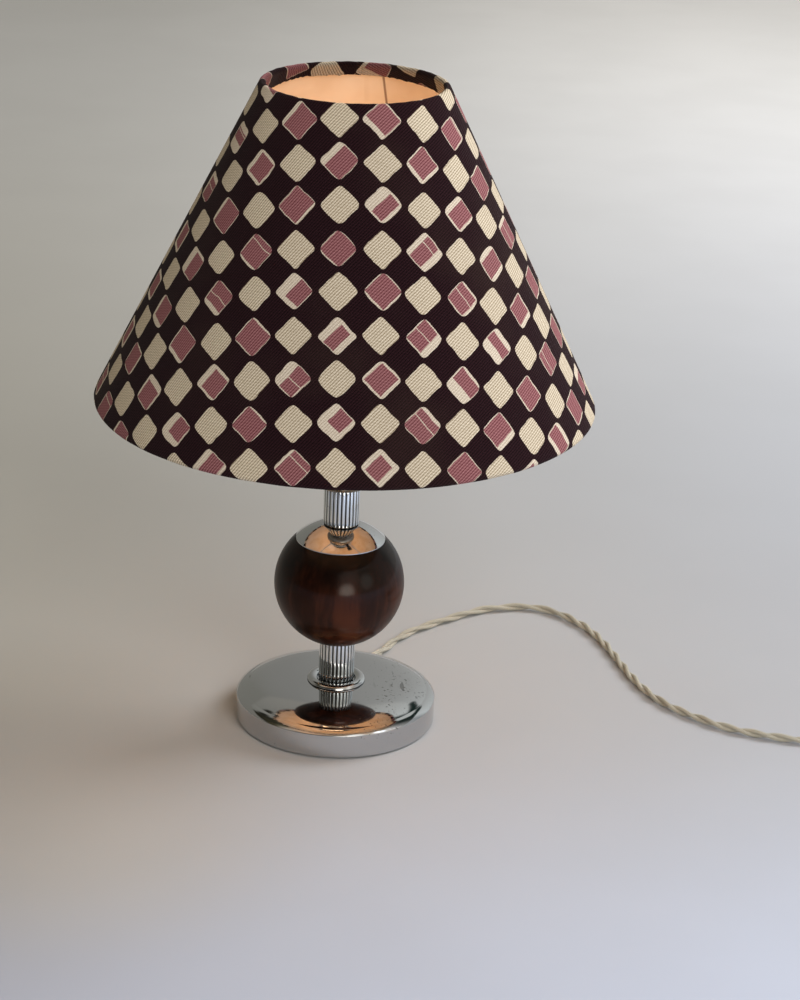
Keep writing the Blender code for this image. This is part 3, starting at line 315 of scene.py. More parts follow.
PLAIN_FINISHES = {
    "black_resin": ((22, 20, 19), (34, 29, 27), 0.16, 70, 420, 0.00005),
    "porcelain": ((236, 234, 226), (226, 222, 211), 0.12, 60, 300, 0.00004),
    "cream_resin": ((219, 210, 184), (203, 190, 157), 0.28, 80, 500, 0.00004),
    "cast_iron": ((62, 61, 60), (44, 40, 37), 0.7, 140, 900, 0.0003, 0.6),
    "nickel": ((182, 175, 164), (150, 142, 129), 0.3, 90, 1100, 0.00003, 1.0),
    "zinc_steel": ((176, 178, 178), (150, 151, 149), 0.32, 500, 1500, 0.00003, 1.0),
    "brass": ((208, 176, 104), (178, 142, 78), 0.24, 180, 1200, 0.00002, 1.0),
    "bulb_cap_metal": ((200, 200, 197), (176, 175, 170), 0.25, 300, 1500, 0.00002, 1.0),
    "plug_pins": ((214, 190, 128), (188, 164, 108), 0.2, 300, 1800, 0.00002, 1.0),
    "white_wire": ((232, 229, 219), (217, 212, 198), 0.3, 120, 700, 0.00005),
}
FINISHES = {slot: clouded_finish(slot, *recipe) for slot, recipe in PLAIN_FINISHES.items()}

# %% Felt finish


def felt_finish():
    """Dark green wool felt, with matted fibres."""
    material, shader, where = finish("felt", tone(40, 62, 50), 0.95, Sheen_Weight=0.6)
    fibres = noise(where, 1400, 4, 0.75)
    mixed(ramp(fibres, 0.3, 0.7), tone(30, 50, 40), tone(58, 84, 68)).into(shader, "Base Color")
    bump(shader, fibres, 0.0004)
    return material


# %% [markdown]
# ## Giving each node its finish
#
# The record lists a material slot for each part. The frame's nodes that stay as they
# are, mostly hidden ones such as the weight and the tie rod, get the finish of their
# slot here. The pieces made further down name the same slots.

# %% Finishes by slot
FINISHES.update(chrome=bright_chrome, felt=felt_finish(), lacquered_wood=lacquered_wood_finish())
for part in frame["record"]["subparts"]:
    if part["material_slot"] in FINISHES:
        frame["nodes"][part["node"]].data.materials[0] = FINISHES[part["material_slot"]]

# %% [markdown]
# ## Helpers that make meshes
#
# Most of the lamp was made on a lathe, by spinning or turning, so its pieces are made
# the same way: an outline of radius and height goes once round the axis. Corners get
# their small rounding in the outline, because a real edge always catches some light.

# %% Mesh helpers
SHARP_EDGE = math.radians(35)
MERGE_DISTANCE = 0.000002


def settle(mesh, slot, *nodes, body="stand", material=None):
    """Puts a finished mesh in the scene, and ties it to its body, slot and nodes."""
    mesh.materials.clear()
    mesh.materials.append(material or FINISHES[slot])
    mesh.shade_smooth()
    mesh.set_sharp_from_angle(angle=SHARP_EDGE)
    piece = bpy.data.objects.new(mesh.name, mesh)
    bpy.context.scene.collection.objects.link(piece)
    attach(piece, body)
    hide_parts(*nodes)
    print(f"{piece.name}: {len(mesh.polygons)} faces")
    return piece


def closed_mesh(name, points, faces):
    """A mesh with its doubles merged and its faces pointing out."""
    mesh = bpy.data.meshes.new(name)
    mesh.from_pydata(points, [], faces)
    shape = bmesh.new()
    shape.from_mesh(mesh)
    bmesh.ops.remove_doubles(shape, verts=shape.verts, dist=MERGE_DISTANCE)
    bmesh.ops.dissolve_degenerate(shape, edges=shape.edges, dist=MERGE_DISTANCE)
    bmesh.ops.recalc_face_normals(shape, faces=shape.faces)
    shape.to_mesh(mesh)
    shape.free()
    return mesh


def eased(outline, steps=4):
    """An outline whose points may hold a third number, how far back its corner is rounded."""
    made = []
    for index, point in enumerate(outline):
        here = Vector(point[:2])
        if len(point) < 3:
            made.append(tuple(here))
            continue
        before = Vector(outline[index - 1][:2])
        after = Vector(outline[(index + 1) % len(outline)][:2])
        start = here + (before - here).normalized() * point[2]
        end = here + (after - here).normalized() * point[2]
        for step in range(steps + 1):
            t = step / steps
            made.append(tuple(start * (1 - t) ** 2 + here * 2 * t * (1 - t) + end * t * t))
    return made


def wrapped(name, columns):
    """A skin through columns of points that stand all round the Z axis."""
    count = len(columns[0])
    faces = []
    for index, column in enumerate(columns):
        here, there = index * count, (index + 1) % len(columns) * count
        for step in range(count):
            following = (step + 1) % count
            if any(column[row][:2] != (0, 0) for row in (step, following)):
                faces.append((here + step, there + step, there + following, here + following))
    return closed_mesh(name, [point for column in columns for point in column], faces)


def turned(name, outline, segments, shape_at=None):
    """A closed outline of (radius, height), turned once round the Z axis."""
    columns = []
    for index in range(segments):
        turn = math.tau * index / segments
        column = [shape_at(turn, *point) for point in outline] if shape_at else outline
        across, up = math.cos(turn), math.sin(turn)
        columns.append([(out * across, out * up, height) for out, height in column])
    return wrapped(name, columns)


def arc(centre, radii, start, end, steps):
    """Points on an upright ellipse, as (radius, height)."""
    turns = [start + (end - start) * step / steps for step in range(steps + 1)]
    (out, up), (wide, tall) = centre, radii
    return [(out + wide * math.cos(turn), up + tall * math.sin(turn)) for turn in turns]


def skinned(name, rings, ends=True):
    """A skin through rings that all have the same number of points."""
    count = len(rings[0])
    points = [tuple(point) for ring in rings for point in ring]
    faces = []
    for row in range(len(rings) - 1):
        for step in range(count):
            following = (step + 1) % count
            here, there = row * count, (row + 1) * count
            faces.append((here + step, here + following, there + following, there + step))
    if ends:
        faces.append(tuple(range(count))[::-1])
        faces.append(tuple((len(rings) - 1) * count + step for step in range(count)))
    return closed_mesh(name, points, faces)


def laid(mesh, place, direction):
    """Lays a mesh that was made along +Z down along a direction."""
    turn = Vector((0, 0, 1)).rotation_difference(direction)
    mesh.transform(Matrix.Translation(place) @ turn.to_matrix().to_4x4())
    return mesh


def low(node):
    """Height of a node's underside."""
    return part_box(node)[0][2]


def high(node):
    """Height of a node's top."""
    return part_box(node)[1][2]


def reach(node):
    """Radius of a turned node."""
    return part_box(node)[1][0]


# %% [markdown]
# ## Helpers for geometry trees
#
# Geometry Nodes make what repeats or follows a path. A tree's inputs are declared with
# names, and a modifier's values are set by each input's identifier before the object is
# looked at for the first time. The result is then turned into a plain mesh, because the
# export drops instances and modifiers of this kind.

# %% Geometry tree helpers


def geometry_tree(name, inputs):
    """A new tree with named inputs, and what each of them gives."""
    tree = bpy.data.node_groups.new(name, "GeometryNodeTree")
    for label, kind in {"Geometry": "Geometry", **inputs}.items():
        tree.interface.new_socket(label, in_out="INPUT", socket_type="NodeSocket" + kind)
    tree.interface.new_socket("Geometry", in_out="OUTPUT", socket_type="NodeSocketGeometry")
    given = tree.nodes.new("NodeGroupInput").outputs
    return tree, {label: Value(tree, given[label]) for label in ("Geometry", *inputs)}


def end_tree(geometry, material):
    """Realizes what is instanced, gives it its material and ends the tree."""
    real = add("GeometryNodeRealizeInstances", {0: geometry})
    done = add("GeometryNodeSetMaterial", {"Geometry": real, "Material": material})
    done.into(geometry.tree.nodes.new("NodeGroupOutput"), 0)


def grown(name, data, tree, values):
    """The plain mesh that a tree makes from a mesh or curve with these input values."""
    seed = bpy.data.objects.new(name + "_seed", data)
    bpy.context.scene.collection.objects.link(seed)
    modifier = seed.modifiers.new(name, "NODES")
    modifier.node_group = tree
    for item in tree.interface.items_tree:
        if item.in_out == "INPUT" and item.name in values:
            modifier[item.identifier] = values[item.name]
    bpy.context.view_layer.update()
    seen = seed.evaluated_get(bpy.context.evaluated_depsgraph_get())
    mesh = bpy.data.meshes.new_from_object(seen)
    bpy.data.objects.remove(seed)
    mesh.name = name
    return mesh


# %% [markdown]
# ## The cord's route
#
# The cord is 1.8 m of two twisted, cotton-covered cores. It leaves the foot at the back,
# drops to the table, wanders off to the right as it does in the photograph, and past the
# edge of the picture its spare length is wound in a tied coil with the plug beside it.
# The route's points and the coil's formula are those of the part's source, because the
# dressed cord has to lie exactly where the solid one lies.

# %% Cord route
CORD_LENGTH = 1.8
CORD_DIAMETER = 0.0046
CORD_RADIUS = CORD_DIAMETER / 2
SEAT_GAP = 0.0003
EXIT_ANGLE = math.radians(72)
EXIT_HEIGHT = 0.005
BUSH_NOSE = 0.071
COIL_CENTRE = Vector((0.3253, 0.0076))
COIL_ENTRY_ANGLE = math.radians(-99)
COIL_LEAVING_ANGLE = math.radians(24)
COIL_WHOLE_TURNS = 7
COIL_ACROSS = 12.4
COIL_STEP = CORD_DIAMETER + 0.0005
COIL_BOTTOM = 0.0013
COIL_LAYERS = 2
TAIL_LENGTH = 0.036
TABLE_LIFT = 0.0002
EXIT_DIRECTION = Vector((math.cos(EXIT_ANGLE), math.sin(EXIT_ANGLE), 0))

ROUTE = (
    (0.0274, 0.0825), (0.0334, 0.0945), (0.0426, 0.1086), (0.0562, 0.1222),
    (0.0718, 0.1348), (0.0876, 0.1461), (0.1033, 0.1516), (0.1190, 0.1532),
    (0.1318, 0.1482), (0.1429, 0.1380), (0.1529, 0.1232), (0.1606, 0.1047),
    (0.1663, 0.0851), (0.1728, 0.0602), (0.1800, 0.0400), (0.1876, 0.0256),
    (0.1975, 0.0134), (0.2080, 0.0040), (0.2188, -0.0044), (0.2320, -0.0112),
    (0.2462, -0.0160), (0.2620, -0.0198),
)


def smooth_curve(points, steps):
    """Points on a Catmull-Rom curve through the given ones."""
    padded = [2 * points[0] - points[1]] + list(points) + [2 * points[-1] - points[-2]]
    curve = []
    for before, start, end, after in zip(padded, padded[1:], padded[2:], padded[3:]):
        for step in range(steps):
            t = step / steps
            bend = (2 * before - 5 * start + 4 * end - after) * t**2
            bend += (3 * start - before - 3 * end + after) * t**3
            curve.append(0.5 * (2 * start + (end - before) * t + bend))
    return curve + [points[-1]]


def length_of(points):
    """Length of a run of points."""
    return sum((end - start).length for start, end in zip(points, points[1:]))


def coil_place(turns, whole_turns, mean_radius):
    """Centre of the cord after some turns: in on the lower layer, then out on the upper one."""
    layer_turns = whole_turns / COIL_LAYERS
    from_middle = turns - layer_turns
    radius = mean_radius + COIL_STEP * (abs(from_middle) - layer_turns / 2)
    climb = min(1, max(0, 2 * from_middle + 0.5))
    angle = COIL_ENTRY_ANGLE + math.tau * turns
    height = COIL_BOTTOM + CORD_RADIUS + COIL_STEP * climb * climb * (3 - 2 * climb)
    flat = COIL_CENTRE + radius * Vector((math.cos(angle), math.sin(angle)))
    return Vector((*flat, height))


def coil_line(turns, mean_radius):
    """The coil's centreline, with a straight end at the cord and another towards the plug."""
    count = round(turns * 48)
    wound = [coil_place(turns * index / count, turns, mean_radius) for index in range(count + 1)]
    way_in = (wound[1] - wound[0]).normalized()
    way_out = wound[-1] - wound[-2]
    way_out.z = 0
    tail = wound[-1] + way_out.normalized() * TAIL_LENGTH
    return [wound[0] - way_in * CORD_DIAMETER, *wound, tail]


def cord_line():
    """The whole cord's centreline, which has its real length."""
    turns = COIL_WHOLE_TURNS + (COIL_LEAVING_ANGLE - COIL_ENTRY_ANGLE) / math.tau
    mean_radius = COIL_ACROSS * CORD_DIAMETER / 2
    for _ in range(6):
        coil = coil_line(turns, mean_radius)
        way_in = (coil[1] - coil[0]).normalized()
        nose = EXIT_DIRECTION * (BUSH_NOSE + SEAT_GAP)
        start = Vector((nose.x, nose.y, EXIT_HEIGHT))
        route = [start + EXIT_DIRECTION * CORD_RADIUS]
        route += [Vector((x, y, CORD_RADIUS + TABLE_LIFT)) for x, y in ROUTE]
        route += [coil[0] - way_in * (CORD_DIAMETER + SEAT_GAP)]
        free = [start] + smooth_curve(route, 6)
        spare = CORD_LENGTH - length_of(free + coil)
        mean_radius += spare / (math.tau * turns)
    return free, coil


free_line, coil_path = cord_line()
cord_path = free_line + coil_path
print(f"cord line {length_of(cord_path):.4f} m through {len(cord_path)} points")

# %% [markdown]
# ## Cotton-covered cores
#
# Each core is a rubber lead in a braid of cream cotton. The braid is drawn in the
# material, from two numbers that the geometry tree leaves on every point: how far along
# the core it is, and which way round. Two sets of slanting ribs, one left-hand and one
# right-hand, pass over and under each other, which is what a braid is. The valleys
# between the ribs are painted darker, as painted shade.

# %% Braided cotton finish


def braid_finish(name, pale, deep, ribs, pitch):
    """Two sets of crossing ribs on a core, with painted shade in their valleys; reads the attributes
    along and around.
    """
    material, shader, where = finish(name, pale, 0.62, Sheen_Weight=0.25, Specular_IOR_Level=0.4)
    along = add("ShaderNodeAttribute", out="Fac", tree=where.tree, attribute_name="along")
    around = add("ShaderNodeAttribute", out="Vector", tree=where.tree, attribute_name="around")
    across, up, _ = split(around)
    turn, travel = calc("ARCTAN2", up, across), along * (math.tau / pitch)
    waves = [calc("SINE", turn * float(hand * ribs) + travel) for hand in (1, -1)]
    height = ramp(calc("MAXIMUM", *waves), -0.2, 0.9)
    fuzz = noise(where, 2600, 3, 0.7)
    soil = noise(where, 55, 3, 0.6)
    # The deep tone is painted shade in the valleys between ribs, and also the colour of soiled patches.
    colour = mixed(ramp(soil, 0.45, 0.75, 0.0, 0.35), mixed(height, deep, pale), deep)
    mixed(fuzz * 0.25, colour, tone(250, 246, 232)).into(shader, "Base Color")
    bump(shader, height + fuzz * 0.3, 0.0004)
    return material


# Pale is the lit cotton; deep is its painted shade, also used for soil.
COTTON_TONES = tone(232, 226, 206), tone(140, 130, 104)
FINISHES["cord_cloth"] = braid_finish("cord_cotton", *COTTON_TONES, ribs=8, pitch=0.0021)

# %% [markdown]
# ## The twisted pair
#
# The tree takes the cord's centreline and makes a core beside it: each point is moved
# out from the line, to a side that turns along the way, and a round section is drawn
# through the result. The twist has opened near the foot, so it has two pitches. Done
# twice, half a turn apart, this is a twisted pair.

# %% Twisted pair tree


def twisted_pair_tree():
    """Two cores wound round the given curve."""
    numbers = ("Core radius", "Spread", "Pitch", "Tight from", "Tight pitch", "Step")
    inputs = {**dict.fromkeys(numbers, "Float"), "Material": "Material"}
    tree, given = geometry_tree("twisted_pair", inputs)
    sockets = {"Curve": given["Geometry"], "Length": given["Step"]}
    line = add("GeometryNodeResampleCurve", sockets, mode="LENGTH")
    line = add("GeometryNodeSetCurveNormal", {"Curve": line}, mode="Z_UP")
    length = add("GeometryNodeSplineParameter", out="Length", tree=tree)
    normal = add("GeometryNodeInputNormal", tree=tree)
    side = vector("CROSS_PRODUCT", add("GeometryNodeInputTangent", tree=tree), normal)
    loose = calc("MINIMUM", length, given["Tight from"]) / given["Pitch"]
    tight = calc("MAXIMUM", length - given["Tight from"], 0.0) / given["Tight pitch"]
    turn = (loose + tight) * math.tau
    sockets = {"Geometry": line, "Name": "along", "Value": length}
    line = add("GeometryNodeStoreNamedAttribute", sockets, data_type="FLOAT", domain="POINT")
    sockets = {"Resolution": 10, "Radius": given["Core radius"]}
    section = add("GeometryNodeCurvePrimitiveCircle", sockets)
    facing = vector("NORMALIZE", add("GeometryNodeInputPosition", tree=tree))
    sockets = {"Geometry": section, "Name": "around", "Value": facing}
    section = add("GeometryNodeStoreNamedAttribute", sockets, data_type="FLOAT_VECTOR", domain="POINT")
    join = add("GeometryNodeJoinGeometry", tree=tree)
    for start in (0.0, math.pi):
        across = scaled(normal, calc("COSINE", turn + start))
        up = scaled(side, calc("SINE", turn + start))
        out = scaled(vector("ADD", across, up), given["Spread"])
        core = add("GeometryNodeSetPosition", {"Geometry": line, "Offset": out})
        sockets = {"Curve": core, "Profile Curve": section, "Fill Caps": True}
        add("GeometryNodeCurveToMesh", sockets).into(join.socket.node, 0)
    end_tree(join, given["Material"])
    return tree


def poly_curve(name, points):
    """A curve with straight runs through the points."""
    data = bpy.data.curves.new(name, "CURVE")
    data.dimensions = "3D"
    spline = data.splines.new("POLY")
    spline.points.add(len(points) - 1)
    for slot, point in zip(spline.points, points):
        slot.co = (*point, 1)
    return data


pair_values = {"Core radius": 0.00117, "Spread": 0.00113, "Pitch": 0.040, "Tight from": 0.16}
pair_values.update({"Tight pitch": 0.031, "Step": 0.0016, "Material": FINISHES["cord_cloth"]})
pair_mesh = grown("cord_pair", poly_curve("cord_line", cord_path), twisted_pair_tree(), pair_values)
cord_pair = settle(pair_mesh, "cord_cloth", "cord", "cord_coil")

# %% [markdown]
# ## The foot
#
# The foot is one sheet of brass spun over a form and plated. A lathe outline is the
# natural way to make it. Its side meets the top in a crisp edge. Then comes a shoulder
# that is part of a circle, a faint crease, and a dome that is nearly flat in the middle
# and steeper towards the crease. These curves matter more than they seem to: the dome
# mirrors the ball and the inside of the shade, and the eye compares reflections.

# %% Foot
FOOT_RADIUS = reach("base_shell")
FOOT_SIDE = 0.0139
SHOULDER_WIDTH = 0.0047
SHOULDER_STEEP = math.radians(50)
SHOULDER_FLAT = math.radians(16)
DOME_GRADIENT = 0.045
DOME_RIM_GRADIENT = math.tan(math.radians(28))
DOME_POWER = 6.5
FOOT_SHEET = 0.0012
ROD_HOLE = 0.0053
DOME_RADIUS = FOOT_RADIUS - SHOULDER_WIDTH
SHOULDER_BEND = SHOULDER_WIDTH / (math.sin(SHOULDER_STEEP) - math.sin(SHOULDER_FLAT))
SHOULDER_TOP = FOOT_SIDE + SHOULDER_BEND * (math.cos(SHOULDER_FLAT) - math.cos(SHOULDER_STEEP))


def foot_top(radius):
    """Height of the dome: flat under the collar, and ever steeper towards its rim."""
    out = max(radius, reach("column_collar"))
    bowed = (DOME_RIM_GRADIENT - DOME_GRADIENT) * DOME_RADIUS / DOME_POWER
    plain = DOME_GRADIENT * (DOME_RADIUS - out)
    return SHOULDER_TOP + plain + bowed * (1 - (out / DOME_RADIUS) ** DOME_POWER)


def foot_face(drop, rim, steps):
    """Shoulder and dome from a rim inwards, lowered by a drop."""
    face = []
    for step in range(steps + 1):
        slope = SHOULDER_STEEP + (SHOULDER_FLAT - SHOULDER_STEEP) * step / steps
        inward = (math.sin(SHOULDER_STEEP) - math.sin(slope)) * SHOULDER_BEND / SHOULDER_WIDTH
        rise = SHOULDER_BEND * (math.cos(slope) - math.cos(SHOULDER_STEEP))
        face.append((rim + (DOME_RADIUS - rim) * inward, FOOT_SIDE + rise - drop))
    for step in range(1, 3 * steps + 1):
        radius = DOME_RADIUS + (ROD_HOLE - DOME_RADIUS) * (step / steps / 3) ** 1.5
        face.append((radius, foot_top(radius) - drop))
    return face


def foot_outline():
    """The shell's outline: outer side, shoulder and dome, then back along the inside."""
    bottom = low("base_shell")
    inner_rim = FOOT_RADIUS - FOOT_SHEET
    outside = [(FOOT_RADIUS, bottom + 0.0003), (FOOT_RADIUS, FOOT_SIDE, 0.0002)]
    outside += foot_face(0, FOOT_RADIUS, 14)[1:]
    inside = foot_face(FOOT_SHEET, inner_rim, 6)[::-1]
    return eased(outside + inside + [(inner_rim, bottom + 0.0003), (FOOT_RADIUS - 0.0003, bottom)])


shell_mesh = turned("foot_shell", foot_outline(), 224)
settle(shell_mesh, "chrome", "base_shell", material=worn_chrome)

# %% [markdown]
# ## Felt, collar and bush
#
# The felt is a disc with a soft, slightly fuzzy edge. The collar is a half-round ring
# that hides where the column meets the foot. The bush is cream resin: a flange against
# the foot's side and a tapered nose round the cord, with moulded rings that let it bend.

# %% Felt, collar and bush


def felt_edge(turn, radius, height):
    """A cut edge that wanders by a tenth of a millimetre."""
    if radius > 0.03:
        radius -= 0.0001 * (1 + math.sin(turn * 37) * math.sin(turn * 11 + height * 900))
    return radius, height


felt_rim, felt_top = reach("base_felt"), high("base_felt")
felt_outline = [(0, 0), (felt_rim, 0, 0.0004), (felt_rim, felt_top, 0.0004), (0, felt_top)]
settle(turned("felt_disc", eased(felt_outline), 160, felt_edge), "felt", "base_felt")

collar_rim, collar_hole = reach("column_collar"), 0.0103
collar_middle, collar_half = (collar_rim + collar_hole) / 2, (collar_rim - collar_hole) / 2
collar_seat = low("column_collar")
collar_radii = (collar_half, high("column_collar") - collar_seat)
collar_outline = arc((collar_middle, collar_seat), collar_radii, 0, math.pi, 24)
settle(turned("collar_ring", collar_outline, 144), "chrome", "column_collar")

bush_outline = [(0.0026, 0.0503), (0.0032, 0.0503), (0.0032, 0.0563), (0.0041, 0.0563, 0.0003)]
bush_outline += [(0.0041, 0.0576, 0.0004), (0.0033, 0.0579, 0.0002)]
for step in range(5):
    start = 0.0588 + step * 0.0021
    root = 0.00322 - step * 0.00004
    low_root = root - 0.0002
    bush_outline += [(root, start, 0.0002), (low_root, start + 0.0002, 0.0001)]
    bush_outline += [(low_root, start + 0.0008, 0.0001), (root - 0.00004, start + 0.0010, 0.0002)]
bush_outline += [(0.0030, BUSH_NOSE, 0.0002), (0.0026, BUSH_NOSE, 0.0001)]
bush_mesh = turned("cord_bush_ribbed", eased(bush_outline, 3), 48)
laid(bush_mesh, (0, 0, EXIT_HEIGHT), EXIT_DIRECTION)
settle(bush_mesh, "cream_resin", "cord_bush")

# %% [markdown]
# ## Reeded sleeves
#
# Each sleeve is a tube rolled with twenty-six round reeds. One reed is made as a small
# half-round bar with rounded ends, and a geometry tree stands copies of it in a ring.
# The same tree later sets the grip ribs round the lampholder's clamping rings.

# %% Ring of copies tree


def ring_tree():
    """Copies of a mesh round the Z axis; the mesh faces +X."""
    inputs = {"Count": "Int", "Radius": "Float", "Material": "Material"}
    tree, given = geometry_tree("ring_of_copies", inputs)
    spots = add("GeometryNodeMeshCircle", {"Vertices": given["Count"], "Radius": given["Radius"]})
    spots = add("GeometryNodeMeshToPoints", {"Mesh": spots})
    turn = add("GeometryNodeInputIndex", tree=tree) * math.tau / given["Count"]
    facing = add("ShaderNodeCombineXYZ", {"Z": turn})
    sockets = {"Points": spots, "Instance": given["Geometry"], "Rotation": facing}
    end_tree(add("GeometryNodeInstanceOnPoints", sockets), given["Material"])
    return tree


ring_of_copies = ring_tree()


def bar(name, half_width, height, bottom, top, easing, sides=8):
    """An upright half-round bar on the YZ plane, bulging towards +X, with eased ends."""
    rings = []
    stations = [(bottom, 0.25), (bottom + easing * 0.3, 0.7), (bottom + easing, 1.0)]
    stations += [(top - easing, 1.0), (top - easing * 0.3, 0.7), (top, 0.25)]
    for level, share in stations:
        ring = []
        for step in range(sides + 1):
            turn = math.pi * (step / sides - 0.5)
            ring.append((height * share * math.cos(turn), half_width * math.sin(turn), level))
        ring += [(-height * 0.4, half_width * 0.9, level), (-height * 0.4, -half_width * 0.9, level)]
        rings.append(ring)
    return skinned(name, rings)


def joined(name, meshes):
    """Several meshes as one."""
    shape = bmesh.new()
    for mesh in meshes:
        shape.from_mesh(mesh)
    whole = bpy.data.meshes.new(name)
    shape.to_mesh(whole)
    shape.free()
    return whole


# %% Reeded sleeves
REED_COUNT = 26
REED_HEIGHT = 0.0008


def sleeve(name, node):
    """A plain tube with reeds round it."""
    bottom, top = low(node), high(node)
    valley = reach(node) - REED_HEIGHT
    outline = [(0.0085, bottom), (valley, bottom, 0.0002), (valley, top, 0.0002), (0.0085, top)]
    core = turned(name + "_core", eased(outline), 104)
    half = math.pi * valley / REED_COUNT
    reed = bar(name + "_reed", half * 0.97, REED_HEIGHT, bottom + 0.0002, top - 0.0002, 0.0008)
    values = {"Count": REED_COUNT, "Radius": valley, "Material": reeded_chrome}
    reeds = grown(name + "_reeds", reed, ring_of_copies, values)
    settle(joined(name, [core, reeds]), "chrome", node, material=reeded_chrome)


sleeve("reeded_lower", "lower_tube")
sleeve("reeded_upper", "upper_tube")

# %% [markdown]
# ## Ball and cap
#
# The ball is turned from one block. A thin chrome sheet is pressed over its top, down to
# a clean edge at forty-four degrees from the pole. Ball and sheet are both arcs about
# one centre; the sheet stands only a fifth of a millimetre proud, and that small step
# with its rounded edge is what draws the fine bright line round the cap.

# %% Ball and cap
BALL_RADIUS = 0.0362
BALL_CENTRE = 0.082092
CAP_RADIUS = BALL_RADIUS + 0.0002
CAP_SHEET = 0.0008
CAP_EDGE = math.pi / 2 - math.radians(43.8)
TUBE_HOLE = 0.0103


def ball_arc(radius, start, end, steps):
    """Points on a circle round the ball's centre."""
    return arc((0, BALL_CENTRE), (radius, radius), start, end, steps)


socket = math.asin(TUBE_HOLE / BALL_RADIUS)
mouth = BALL_CENTRE - BALL_RADIUS * math.cos(socket)
roof = high("lower_tube") + SEAT_GAP
rebate = CAP_RADIUS - CAP_SHEET - SEAT_GAP
crown = high("ball_cap") - CAP_SHEET - SEAT_GAP
crown_turn = math.asin((crown - BALL_CENTRE) / rebate)
ball_outline = [(ROD_HOLE, roof), (TUBE_HOLE, roof), (TUBE_HOLE, mouth)]
ball_outline += ball_arc(BALL_RADIUS, socket - math.pi / 2, CAP_EDGE, 72)[1:]
ball_outline += ball_arc(rebate, CAP_EDGE, crown_turn, 16)
ball_outline += [(ROD_HOLE, crown)]
settle(turned("turned_ball", ball_outline, 160), "lacquered_wood", "ball")

inner = CAP_RADIUS - CAP_SHEET
seat_turn = math.acos(TUBE_HOLE / CAP_RADIUS)
inner_turn = math.asin((high("ball_cap") - CAP_SHEET - BALL_CENTRE) / inner)
rim = CAP_EDGE + SEAT_GAP / BALL_RADIUS
edge_turn = rim + 0.0003 / CAP_RADIUS
cap_outline = ball_arc(CAP_RADIUS, edge_turn, seat_turn, 40)
cap_outline += [(ROD_HOLE, high("ball_cap")), (ROD_HOLE, high("ball_cap") - CAP_SHEET)]
cap_outline += ball_arc(inner, inner_turn, rim, 16)
edge = CAP_RADIUS - 0.00025
cap_outline += [(edge * math.cos(rim), BALL_CENTRE + edge * math.sin(rim))]
settle(turned("cap_sheet", cap_outline, 160), "chrome", "ball_cap", material=cap_chrome)

# %% [markdown]
# ## Lampholder
#
# The lampholder is nickel-plated metal in two parts that screw together: a domed cap
# with the switch in its side, and a shell with a coarse thread outside, on which the
# shade's clamping rings run. A thread is a lathe outline whose radius also depends on
# the turn, so the turning helper takes a function for that.

# %% Lampholder
HOLDER_RADIUS = reach("holder_cap")
HOLDER_NECK = 0.0127
KEY_ANGLE = math.radians(-55)
KEY_DIRECTION = Vector((math.cos(KEY_ANGLE), math.sin(KEY_ANGLE), 0))
KEY_AXIS = 0.165004
THREAD_PITCH = 0.0026
INSERT_SEAT = 0.160304

cap_foot, cap_top = low("holder_cap"), high("holder_cap")
bowl = arc((HOLDER_NECK, cap_foot + 0.018), (HOLDER_RADIUS - HOLDER_NECK, 0.018), -math.pi / 2, 0, 20)
holder_outline = [(ROD_HOLE, cap_foot)] + bowl
holder_outline += [(HOLDER_RADIUS, cap_top - 0.0032), (HOLDER_RADIUS - 0.0004, cap_top - 0.0029)]
holder_outline += [(HOLDER_RADIUS - 0.0004, cap_top - 0.0022), (HOLDER_RADIUS, cap_top - 0.0019)]
holder_outline += [(HOLDER_RADIUS, cap_top, 0.0003), (HOLDER_RADIUS - 0.0022, cap_top)]
holder_outline += [(HOLDER_RADIUS - 0.0022, INSERT_SEAT), (0.015, INSERT_SEAT)]
holder_outline += [(0.009, cap_foot + 0.010), (ROD_HOLE, cap_foot + 0.010)]
settle(turned("holder_dome", eased(holder_outline), 96), "nickel", "holder_cap")


def outer_thread(turn, radius, height):
    """A rounded thread on the outside, cut into the full radius."""
    if radius > HOLDER_RADIUS - 0.0001 and shell_bottom + 0.004 < height < shell_top - 0.001:
        radius -= 0.0003 * (1 - math.cos(math.tau * height / THREAD_PITCH - turn))
    return radius, height


shell_bottom, shell_top = low("holder_shell"), high("holder_shell")
wall = HOLDER_RADIUS - 0.0022
threaded = [(HOLDER_RADIUS, shell_bottom + 0.004 + step * 0.0004) for step in range(1, 52)]
shell_outline = [(wall, shell_bottom), (HOLDER_RADIUS, shell_bottom, 0.0003)] + threaded
shell_outline += [(HOLDER_RADIUS, shell_top, 0.0005), (wall - 0.0029, shell_top, 0.0004)]
shell_outline += [(wall - 0.0029, shell_top - 0.002), (wall, shell_top - 0.002)]
shell_mesh = turned("holder_sleeve", eased(shell_outline), 96, outer_thread)
settle(shell_mesh, "nickel", "holder_shell")

# %% Clamping rings


def clamping_ring(name, node, body):
    """A flat ring with a chamfered bore, and ribs round its edge to grip."""
    bottom, top, outer = low(node), high(node), reach(node)
    root = outer - 0.0007
    bore = HOLDER_RADIUS + SEAT_GAP
    outline = [(bore, bottom, 0.0003), (root, bottom, 0.0004), (root, top, 0.0004), (bore, top, 0.0003)]
    band = turned(name + "_band", eased(outline), 120)
    rib = bar(name + "_rib", 0.0011, 0.0007, bottom + 0.0004, top - 0.0004, 0.0006)
    values = {"Count": 40, "Radius": root, "Material": FINISHES["nickel"]}
    ribs = grown(name + "_ribs", rib, ring_of_copies, values)
    settle(joined(name, [band, ribs]), "nickel", node, body=body)


clamping_ring("clamp_lower", "shade_ring_lower", "stand")
clamping_ring("clamp_upper", "shade_ring_upper", "clamp_ring")

# %% [markdown]
# ## Switch key
#
# The key is moulded on a brass spindle: a round stem that widens into a flat wing for
# two fingers. It is skinned over rings that change from a circle to a rounded
# rectangle, each written as a superellipse, whose power sets how square it is.

# %% Switch key


